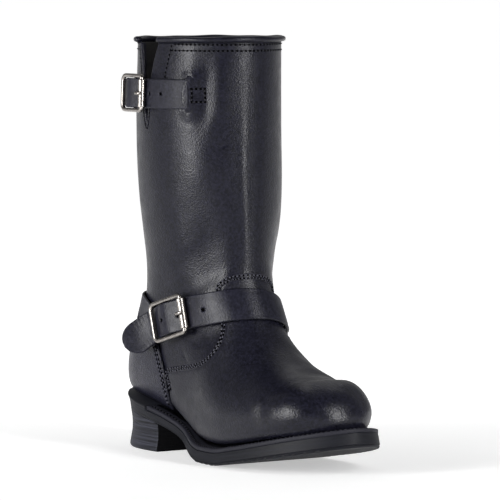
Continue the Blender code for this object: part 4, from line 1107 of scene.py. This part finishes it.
def buildStrap(name, node, stations, plane, finish, holes=(), tipLong=0.0, sewn=None):
    half, thick = plane["half"], plane["thick"]
    path = evenPath(smoothPath(stations, 3.0), 0.8)
    middle = path[:, :3]
    along = unit(np.gradient(middle, axis=0))
    out = unit(np.cross(path[:, 3:6], along))
    across = np.cross(along, out)
    run = lengthAlong(middle)
    wide = np.full(len(middle), half)
    if tipLong:
        left = np.clip((run[-1] - run) / tipLong, 0, 1)
        wide = half * np.sqrt(np.maximum(1 - (1 - left) ** 2.2, 0.004))
    # ring: outer face between two rounded edges, then the flesh side back
    halfLanes = np.array([0.03, 0.08, 0.13, 0.18, 0.24, 0.35, 0.5, 0.66, 0.8, 0.9, 0.95, 0.985, 1])
    lanes = np.concatenate([-halfLanes[::-1], halfLanes])
    fromEdge = (1 - np.abs(lanes))[None] * wide[:, None]
    rounding = 1 - quarterRound(fromEdge, strapEdge["round"])
    rise = thick * (1 - 0.42 * rounding) - strapEdge["crown"] * (lanes**2)[None]
    rise = rise - strapEdge["creaseDeep"] * hump(fromEdge, strapEdge["creaseIn"], strapEdge["creaseWide"])
    face = middle[:, None] + across[:, None] * (lanes[None] * wide[:, None])[..., None]
    # the holes' dark and the discs laid in them are painted shade, where each hole's recess is in shade
    dark = np.zeros(rise.shape)
    for spot, radius in holes:
        d = np.linalg.norm(face - np.asarray(spot)[None, None], axis=2)
        d = np.sqrt(np.maximum(d**2 - np.min(d) ** 2, 0))
        rise = rise - (thick - 0.5) * (1 - ease(d, radius * 0.75, radius * 1.15))
        rise = rise - 0.12 * hump(d, radius * 1.3, 0.8)
        dark = np.maximum(dark, 1 - ease(d, radius * 0.6, radius))
        i = int(np.argmin(np.linalg.norm(middle - np.asarray(spot)[None], axis=1)))
        wideHole = radius * 0.95
        holeShadeDiscs.append(turnedTo(middle[i] + out[i] * (thick - 0.4), along[i] * wideHole,
                                  np.cross(out[i], along[i]) * wideHole, out[i]))
    outer = face + out[:, None] * rise[..., None]
    back = lanes[::-2]
    inner = middle[:, None] + across[:, None] * (back[None] * wide[:, None])[..., None]
    lowEdge = 1 - quarterRound((1 - np.abs(back))[None] * wide[:, None], strapEdge["lowRound"])
    inner = inner + out[:, None] * (0.35 * thick * lowEdge)[..., None]
    edge = np.concatenate([fromEdge + 0.15, np.full((len(middle), len(back)), 0.4)], 1)
    holeShade = np.concatenate([dark, np.zeros((len(middle), len(back)))], 1)
    ring = np.concatenate([outer, inner], 1)
    bm = layGrid(joined(ring), {"edgeDist": joined(edge), "holeShade": joined(holeShade)})
    closeSeams(bm)
    closeEnds(bm)
    surface = surfaceOf(addPiece(name, bm, [finish], node))
    if sewn is not None:
        # a box of stitches holds the end to the boot
        span = np.searchsorted(run, sewn if sewn[0] > 0 else run[-1] + np.array(sewn))
        span = np.arange(span.min(), span.max() + 1)
        over = middle[span] + out[span] * (thick + 0.4)
        sides = [over + across[span] * side * (half - strapEdge["seamIn"]) for side in (-1, 1)]
        for line in sides + [np.linspace(sides[0][k], sides[1][k], 24) for k in (0, -1)]:
            stitchRow(line, surface, 3.4)


instepStations = np.vstack([bootStations(instepStrap, instepOnBoot),
                            buckleStations(instepBuckle, instepInBuckle)])
topStations = np.vstack([bootStations(topStrap, topOnBoot), buckleStations(topBuckle, topInBuckle)])


def alongStrap(stations, reach):
    # a hole's place: mm along the strap from the last station back
    path = smoothPath(stations, 1.0)
    run = lengthAlong(path)
    return np.array([np.interp(run[-1] - reach, run, path[:, k]) for k in range(3)])


buildStrap("instep_strap_leather", "instep_strap", instepStations, instepStrap, strapLeather,
           [(alongStrap(instepStations, r), 1.5) for r in (50.5, 67.0, 93.0)], 15.0, (4.0, 26.0))
buildStrap("top_strap_leather", "top_strap", topStations, topStrap, topStrapLeather,
           [(alongStrap(topStations, r), 1.25) for r in (30.0, 43.7, 57.4)], 9.0)
for node, plane, buckle, tail, onBoot in (
        ("instep_chape", instepChape, instepBuckle, instepTail, chapeOnBoot),
        ("top_chape", topChape, topBuckle, topTail, topChapeOnBoot)):
    loop = [(a, o - buckle["drop"], 0, 0) for a, o in chapeLoop]
    stations = np.vstack([buckleStations(buckle, loop + tail), bootStations(plane, onBoot)])
    buildStrap(node + "_leather", node, stations, plane, strapLeather, sewn=(-4.0, -24.0))


# near black discs down in the strap's holes: painted shade
def buildStrapHoleShade():
    bm = bmesh.new()
    for matrix in holeShadeDiscs:
        bmesh.ops.create_circle(bm, cap_ends=True, segments=14, radius=1.0, matrix=matrix)
    addPiece("strap_hole_shade", bm, [awlHoleShade], None, False)


buildStrapHoleShade()
buildStitches("strap_stitches", sheenThread)
print("straps made")


# buckles: frame with middle bar, roller on the front bar, prong
buckleMetal = {"corner": 4.5, "frontCorner": 2.3, "middleBar": 1.4, "rollerShort": 2.7, "prong": 1.3}


def tube(path, radius, sides, closed=False, flat=1.0, normal=None):
    path = np.asarray(path, float)
    along = unit(np.roll(path, -1, 0) - np.roll(path, 1, 0) if closed else np.gradient(path, axis=0))
    if normal is None:
        normal = np.linalg.svd(path - path.mean(axis=0))[2][2]
    radius = np.broadcast_to(np.asarray(radius, float), (len(path),))
    side = unit(np.cross(along, normal))
    over = np.cross(side, along)
    turn = np.arange(sides) * 2 * math.pi / sides
    # a bar a little squarer than round
    reach = (np.abs(np.cos(turn)) ** 2.6 + np.abs(np.sin(turn)) ** 2.6) ** (-1 / 2.6)
    ring = side[:, None] * (np.cos(turn) * reach)[None, :, None]
    ring = ring + over[:, None] * (np.sin(turn) * reach * flat)[None, :, None]
    place = joined(path[:, None] + ring * radius[:, None, None])
    return joined(place, True) if closed else place


def buildBuckle(prefix, buckle):
    halfLong, halfWide = buckle["halfLong"], buckle["halfWide"]
    bar, roller, drop = buckle["bar"], buckle["roller"], buckle["drop"]
    _, across, outward = buckleAxes(buckle)
    loop = []
    for sideA, sideB, start in ((1, 1, 0), (-1, 1, 90), (-1, -1, 180), (1, -1, 270)):
        tight = buckleMetal["frontCorner"] if sideA > 0 else buckleMetal["corner"]
        for turn in np.radians(np.linspace(start, start + 90, 13)):
            loop.append(inBuckle(buckle, sideA * (halfLong - tight) + tight * math.cos(turn), 0.0,
                                 sideB * (halfWide - tight) + tight * math.sin(turn)))
    loop = evenPath(np.array(loop + loop[:1]), 0.8)[:-1]
    bm = layGrid(tube(loop, bar, 18, True, 1.05, outward))
    bends = [(0, -halfWide), (0.55, -halfWide + 0.4), (1, -halfWide + 2.0), (1, halfWide - 2.0),
             (0.55, halfWide - 0.4), (0, halfWide)]
    middleBar = smoothPath([inBuckle(buckle, 0.0, -drop * s, a) for s, a in bends], 1.0)
    layGrid(tube(middleBar, buckleMetal["middleBar"], 14), bm=bm)
    closeSeams(bm)
    closeEnds(bm)
    addPiece(prefix + "_frame_metal", bm, [nickel], prefix + "_buckle_frame")

    # roller: a rolled tube with rounded lips
    length = halfWide - buckleMetal["rollerShort"]
    bore = bar + gap
    lip = [(0, bore), (-0.05, (bore + roller) / 2), (0, roller - 0.35), (0.4, roller), (1.2, roller - 0.08)]
    profile = [(a - length, r) for a, r in lip] + [(length - a, r) for a, r in lip[::-1]]
    bm = bmesh.new()
    line = [bm.verts.new(inBuckle(buckle, halfLong + r, 0.0, a)) for a, r in profile]
    edges = [bm.edges.new(pair) for pair in zip(line, line[1:] + line[:1])]
    bmesh.ops.spin(bm, geom=line + edges, cent=inBuckle(buckle, halfLong, 0.0), axis=across,
                   angle=2 * math.pi, steps=32, use_merge=True)
    addPiece(prefix + "_roller_metal", bm, [nickel], prefix + "_roller")

    # prong: curled on the middle bar, over the roller
    thick = buckleMetal["prong"]
    wrap = buckleMetal["middleBar"] + gap + thick
    path = [inBuckle(buckle, wrap * math.cos(t), wrap * math.sin(t) - drop)
            for t in np.radians((185, 210, 235, 260, 285, 310, 335))]
    over = roller + gap + thick
    share = halfLong / instepBuckle["halfLong"]
    for along, out in ((6.3 * share, -3.3), (9.4 * share, -1.3), (12.6 * share, 1.6),
                       (halfLong - 2.2, over - 0.5), (halfLong + 0.6, over), (halfLong + 3.6, over - 0.7)):
        path.append(inBuckle(buckle, along, out))
    step = 0.6
    path = evenPath(smoothPath(path, 0.8), step)
    fromTip = np.arange(len(path))[::-1] * step
    radius = thick * (0.55 + 0.45 * quarterRound(fromTip, 2.2))
    bm = layGrid(tube(path, radius, 14))
    closeSeams(bm)
    closeEnds(bm)
    addPiece(prefix + "_prong_metal", bm, [nickel], prefix + "_prong")


buildBuckle("instep", instepBuckle)
buildBuckle("top", topBuckle)
print("buckles made")


# sole: height share, inset under the heel, inset under the forefoot
outsoleSide = [(0.00, 1.8, 1.6), (0.05, 1.75, 0.5), (0.16, 1.65, 0.1), (0.19, 1.65, 0.6), (0.23, 1.6, 0.6),
               (0.26, 1.6, 0.0), (0.80, 0.6, 0.8), (0.90, 0.1, 1.0), (1.00, 0.3, 1.2)]
outsole = {"weltFrom": 62.0, "weltStep": 3.65, "treadFrom": 146.0, "treadTo": 292.0, "treadPitch": 8.0,
           "treadWide": 2.6, "treadDeep": 1.1}


def thereAndBack(values):
    return np.concatenate([values, values[::-1]])


def ringRound(x, place, middle, inset, z):
    # forward on the outer side and back on the inner one
    outer = middle - np.maximum(outerHalf(x) - inset, leastHalf)
    inner = middle + np.maximum(innerHalf(x) - inset, leastHalf)
    return np.concatenate([np.stack([place, outer, z], -1), np.stack([place, inner, z], -1)[::-1]])


def soleRing(x, inset, z):
    middle = soleLong / 2
    return ringRound(x, middle + (x - middle) * (1 - inset / middle), swing(x), inset, z)


def stacked(rings, layers, middle):
    # rings from the bottom up, the first and last drawn in to the sole's middle line
    place = np.array(rings)
    lines = [place[:1].copy(), place, place[-1:].copy()]
    for line in (lines[0], lines[2]):
        line[..., 1] = thereAndBack(middle)
    layer = np.array(layers)
    layer = np.concatenate([layer[:1], layer, layer[-1:]])
    bm = layGrid(joined(np.concatenate(lines)), {"layer": joined(layer)})
    closeSeams(bm)
    return bm


def buildOutsole():
    turn = np.linspace(0.012 * math.pi, 0.988 * math.pi, 460)
    x = np.sort(np.concatenate([soleLong * (1 - np.cos(turn)) / 2, [61.7, 62.1]]))
    low = soleBottom(x)
    high = seat(x) - outsole["weltStep"] * (x > outsole["weltFrom"])
    fore = ease(x, 50, 110)
    phase = np.abs((x / outsole["treadPitch"]) % 1 - 0.5) * outsole["treadPitch"]
    groove = 1 - ease(phase, outsole["treadWide"] / 2 - 0.5, outsole["treadWide"] / 2 + 0.5)
    first, last = outsole["treadFrom"], outsole["treadTo"]
    groove = groove * plateau(x, first, first + 6, last - 4, last) * outsole["treadDeep"]
    extra = [0.02, 0.175, 0.245, 0.97]
    levels = np.unique(np.concatenate([np.linspace(0, 1, 21), column(outsoleSide, 0), extra]))
    heelInset = np.interp(levels, column(outsoleSide, 0), column(outsoleSide, 1))
    foreInset = np.interp(levels, column(outsoleSide, 0), column(outsoleSide, 2))
    rings, layer = [], []
    for share, a, b in zip(levels, heelInset, foreInset):
        z = low + (high - low) * share + groove * (1 - ease(share, 0, 0.16))
        rings.append(soleRing(x, a * (1 - fore) + b * fore, z))
        layer.append(thereAndBack((high - low) * share))
    addPiece("outsole_rubber", stacked(rings, layer, swing(x)), [soleRubber], "outsole")


buildOutsole()

# heel: height share, inset, pitch of its back
heelSide = [(0.00, 1.6, 2.2), (0.05, 0.9, 2.2), (0.22, 1.4, 2.7), (0.45, 2.2, 3.0), (0.70, 2.4, 2.2),
            (0.88, 2.1, 1.0), (1.00, 1.9, 0.4)]
heelBlock = {"groove": 0.35, "grooveHalf": 0.014, "layers": (0.24, 0.47, 0.72)}


def buildHeel():
    turn = np.linspace(0.02 * math.pi, 0.5 * math.pi, 64)
    x = heelBreast * (1 - np.cos(turn))
    top = soleBottom(x) - gap
    levels = np.unique(np.concatenate([np.linspace(0, 1, 41), [0.01, 0.03]]
                                      + [np.array([s - 0.018, s, s + 0.018]) for s in heelBlock["layers"]]))
    rings, layer = [], []
    for share in levels:
        inset = float(monotone(column(heelSide, 0), column(heelSide, 1), share))
        pitch = float(monotone(column(heelSide, 0), column(heelSide, 2), share))
        for seam in heelBlock["layers"]:
            inset += heelBlock["groove"] * max(0.0, 1 - abs(share - seam) / heelBlock["grooveHalf"])
        place = inset + pitch * (1 - x / heelBreast) + x * (1 - inset / heelBreast)
        rings.append(ringRound(x, place, 0.0, inset, top * share))
        layer.append(thereAndBack(top * share))
    bm = stacked(rings, layer, 0 * x)
    bmesh.ops.recalc_face_normals(bm, faces=bm.faces)
    # faces turned to the front get the painted shade of the breast
    for face in bm.faces:
        if face.normal.x > 0.8:
            face.material_index = 1     # breast: painted shade
    addPiece("heel_rubber_block", bm, [heelRubber, breastShadeRubber], "heel")


buildHeel()

# welt: a strip round the forefoot, its rounded edge just inside the sole's
weltStrip = {"from": 63.3, "inset": 1.4, "reach": 0.32, "turn": 245.0, "stitchInset": 5.0}
# its section: share of the way in, mm under the seat, distance from the raw edge
weltSection = [(1, 0, 30), (0.6, 0, 30), (0.35, 0, 30), (0.16, 0, 12), (0.07, 0.04, 3), (0.03, 0.22, 0.4),
               (0.008, 0.6, 0.1), (0, 1.2, 0.1), (0, 2.3, 0.1), (0.008, 2.9, 0.1), (0.03, 3.3, 0.4),
               (0.08, 3.5, 3), (0.5, 3.5, 30), (1, 3.5, 30)]


def weltLoop(inset):
    turn = np.linspace(0.25, 0.99, 300) * math.pi
    x = soleLong * (1 - np.cos(turn)) / 2
    x = np.concatenate([[weltStrip["from"]], x[x > weltStrip["from"] + 0.4]])
    ring = soleRing(x, np.zeros(x.shape), seat(x))
    along = unit(np.gradient(ring[:, :2], axis=0))
    # inwards, to the left of a line that runs forward on the outer side
    place = ring[:, :2] + np.stack([-along[:, 1], along[:, 0]], -1) * inset
    return np.concatenate([place, seat(place[:, 0])[:, None]], 1), thereAndBack(swing(x))


def buildWelt():
    edge, middle = weltLoop(weltStrip["inset"])
    deep = edge.copy()
    deep[:, 0] -= weltStrip["reach"] * np.maximum(edge[:, 0] - weltStrip["turn"], 0)
    deep[:, 1] -= weltStrip["reach"] * (edge[:, 1] - middle)
    rings = []
    for share, down, _ in weltSection:
        p = edge + (deep - edge) * share
        p[:, 2] = seat(p[:, 0]) - down
        rings.append(p)
    rings = np.stack(rings, 1)
    edgeDist = np.tile(column(weltSection, 2), (len(rings), 1))
    bm = layGrid(joined(rings), {"edgeDist": joined(edgeDist)})
    closeSeams(bm)
    closeEnds(bm)
    return addPiece("welt_strip", bm, [weltLeather], "welt")


weltSurface = surfaceOf(buildWelt())
stitchRow(trimmed(weltLoop(weltStrip["stitchInset"])[0], 4), weltSurface, 3.8, 1.3)
buildStitches("welt_stitches", darkThread)


# insole: leather over the sole, seen down the shaft; heights over the seat, air to the wall
insoleBoard = {"under": 4.1, "over": 7.1, "edgeAt": 4.7, "clear": 1.5}


def buildInsole():
    rows = np.linspace(1.8, 12.6, 90)
    angles = np.linspace(8, 88, 81)
    inwards = np.full(angles.shape, -(wall + insoleBoard["clear"]))
    sides = []
    for turn in (1, -1):
        line = []
        for row in rows:
            p = skin(np.full(angles.shape, row), turn * angles, inwards)
            above = p[:, 2] - seat(p[:, 0])
            line.append([np.interp(insoleBoard["edgeAt"], above, p[:, k]) for k in (0, 1)])
        sides.append(np.array(line))
    share = np.linspace(0, 1, 9)
    flat = sides[0][:, None] + (sides[1] - sides[0])[:, None] * share[None, :, None]
    under, over = (np.concatenate([flat, (seat(flat[..., 0]) + insoleBoard[side])[..., None]], -1)
                   for side in ("under", "over"))
    bm = layGrid(over)
    secondSkin(bm, under)
    addPiece("insole_board_leather", bm, [insoleTan], "insole")


buildInsole()
print("sole made")


# stage: white sweep, soft boxes and the camera; the turn that the camera looks from, in degrees
cameraTurn = 58.0
cameraAhead = (-math.sin(math.radians(cameraTurn)), math.cos(math.radians(cameraTurn)))


def addFloor():
    # white paper that glows behind the boot and falls off towards the camera's side
    made, tree, shader = newMaterial("white_paper")
    setInputs(shader, {"Base Color": tone("#e4e4e4"), "Roughness": 0.9, "Specular IOR Level": 0.1,
                       "Emission Color": tone("#ffffff")})
    far = addNode(tree, "ShaderNodeVectorMath", {"operation": "DOT_PRODUCT", 1: cameraAhead + (0.0,)},
                  {0: bootSpot(tree)})
    glow = ranged(tree, far.outputs["Value"], {"interpolation_type": "SMOOTHSTEP", "From Min": -0.3,
                                               "From Max": 0.7, "To Min": 0.34, "To Max": 0.88})
    linkInputs(tree, shader, {"Emission Strength": glow})
    bm = bmesh.new()
    bmesh.ops.create_grid(bm, x_segments=1, y_segments=1, size=40.0)
    mesh = bpy.data.meshes.new("floor")
    bm.to_mesh(mesh)
    bm.free()
    mesh.materials.append(made)
    floor = intoScene("floor", mesh)


def addLight(name, yaw, distance, height, size, power, aim=0.17):
    # yaw in degrees round the boot from the camera's side, right positive
    base = math.radians(cameraTurn - 90.0 + yaw)
    place = Vector((math.cos(base) * distance, math.sin(base) * distance, height))
    data = bpy.data.lights.new(name, "AREA")
    data.shape = "RECTANGLE"
    data.size, data.size_y = size
    data.energy = power
    lamp = intoScene(name, data)
    lamp.location = place
    lamp.rotation_euler = (Vector((0, 0, aim)) - place).to_track_quat("-Z", "Y").to_euler()
    lamp.visible_camera = False


def addWorld(low, high):
    # a pale room behind the boot, dimmer towards the camera's side and overhead
    world = bpy.data.worlds.new("studio")
    world.use_nodes = True
    tree = world.node_tree
    way = addNode(tree, "ShaderNodeTexCoord").outputs["Generated"]
    axis = Vector(cameraAhead + (-0.35,)).normalized()
    facing = addNode(tree, "ShaderNodeVectorMath", {"operation": "DOT_PRODUCT", 1: axis}, {0: way})
    share = ranged(tree, facing.outputs["Value"], {"From Min": -0.5, "From Max": 0.8,
                                                   "To Min": low, "To Max": high})
    linkInputs(tree, tree.nodes["Background"], {"Strength": share})
    setInputs(tree.nodes["Background"], {"Color": (1, 1, 1, 1)})
    bpy.context.scene.world = world


def addCamera():
    turn, pitch = math.radians(cameraTurn), math.radians(4.27)
    focalPixels, offCentrePixels = 4121.09, 37.42
    yaw = math.atan(offCentrePixels / focalPixels)
    ahead = Vector((-math.sin(turn) * math.cos(pitch), math.cos(turn) * math.cos(pitch), -math.sin(pitch)))
    right = Vector((math.cos(turn), math.sin(turn), 0.0))
    look = ahead * math.cos(yaw) + right * math.sin(yaw)
    data = bpy.data.cameras.new("camera")
    data.lens = 296.7
    data.sensor_width = 36.0
    data.dof.use_dof = False
    camera = intoScene("camera", data)
    camera.location = (2.75903, -1.75013, 0.41086)
    camera.rotation_euler = look.to_track_quat("-Z", "Y").to_euler()
    bpy.context.scene.camera = camera


bpy.context.scene.view_settings.view_transform = "Standard"    # plain colours, as in a product picture
addFloor()
addWorld(0.06, 0.38)
addLight("left_box", -56, 2.2, 0.45, (0.7, 1.5), 66)
addLight("right_strip", 43, 2.0, 0.8, (0.2, 1.7), 37)
addLight("back_box", 180, 1.6, 1.9, (1.6, 0.8), 3)
addLight("left_low", -57, 0.75, 0.13, (0.3, 0.3), 1.5, 0.13)
addLight("right_low", 43, 0.75, 0.13, (0.07, 0.25), 1.15, 0.13)
addCamera()
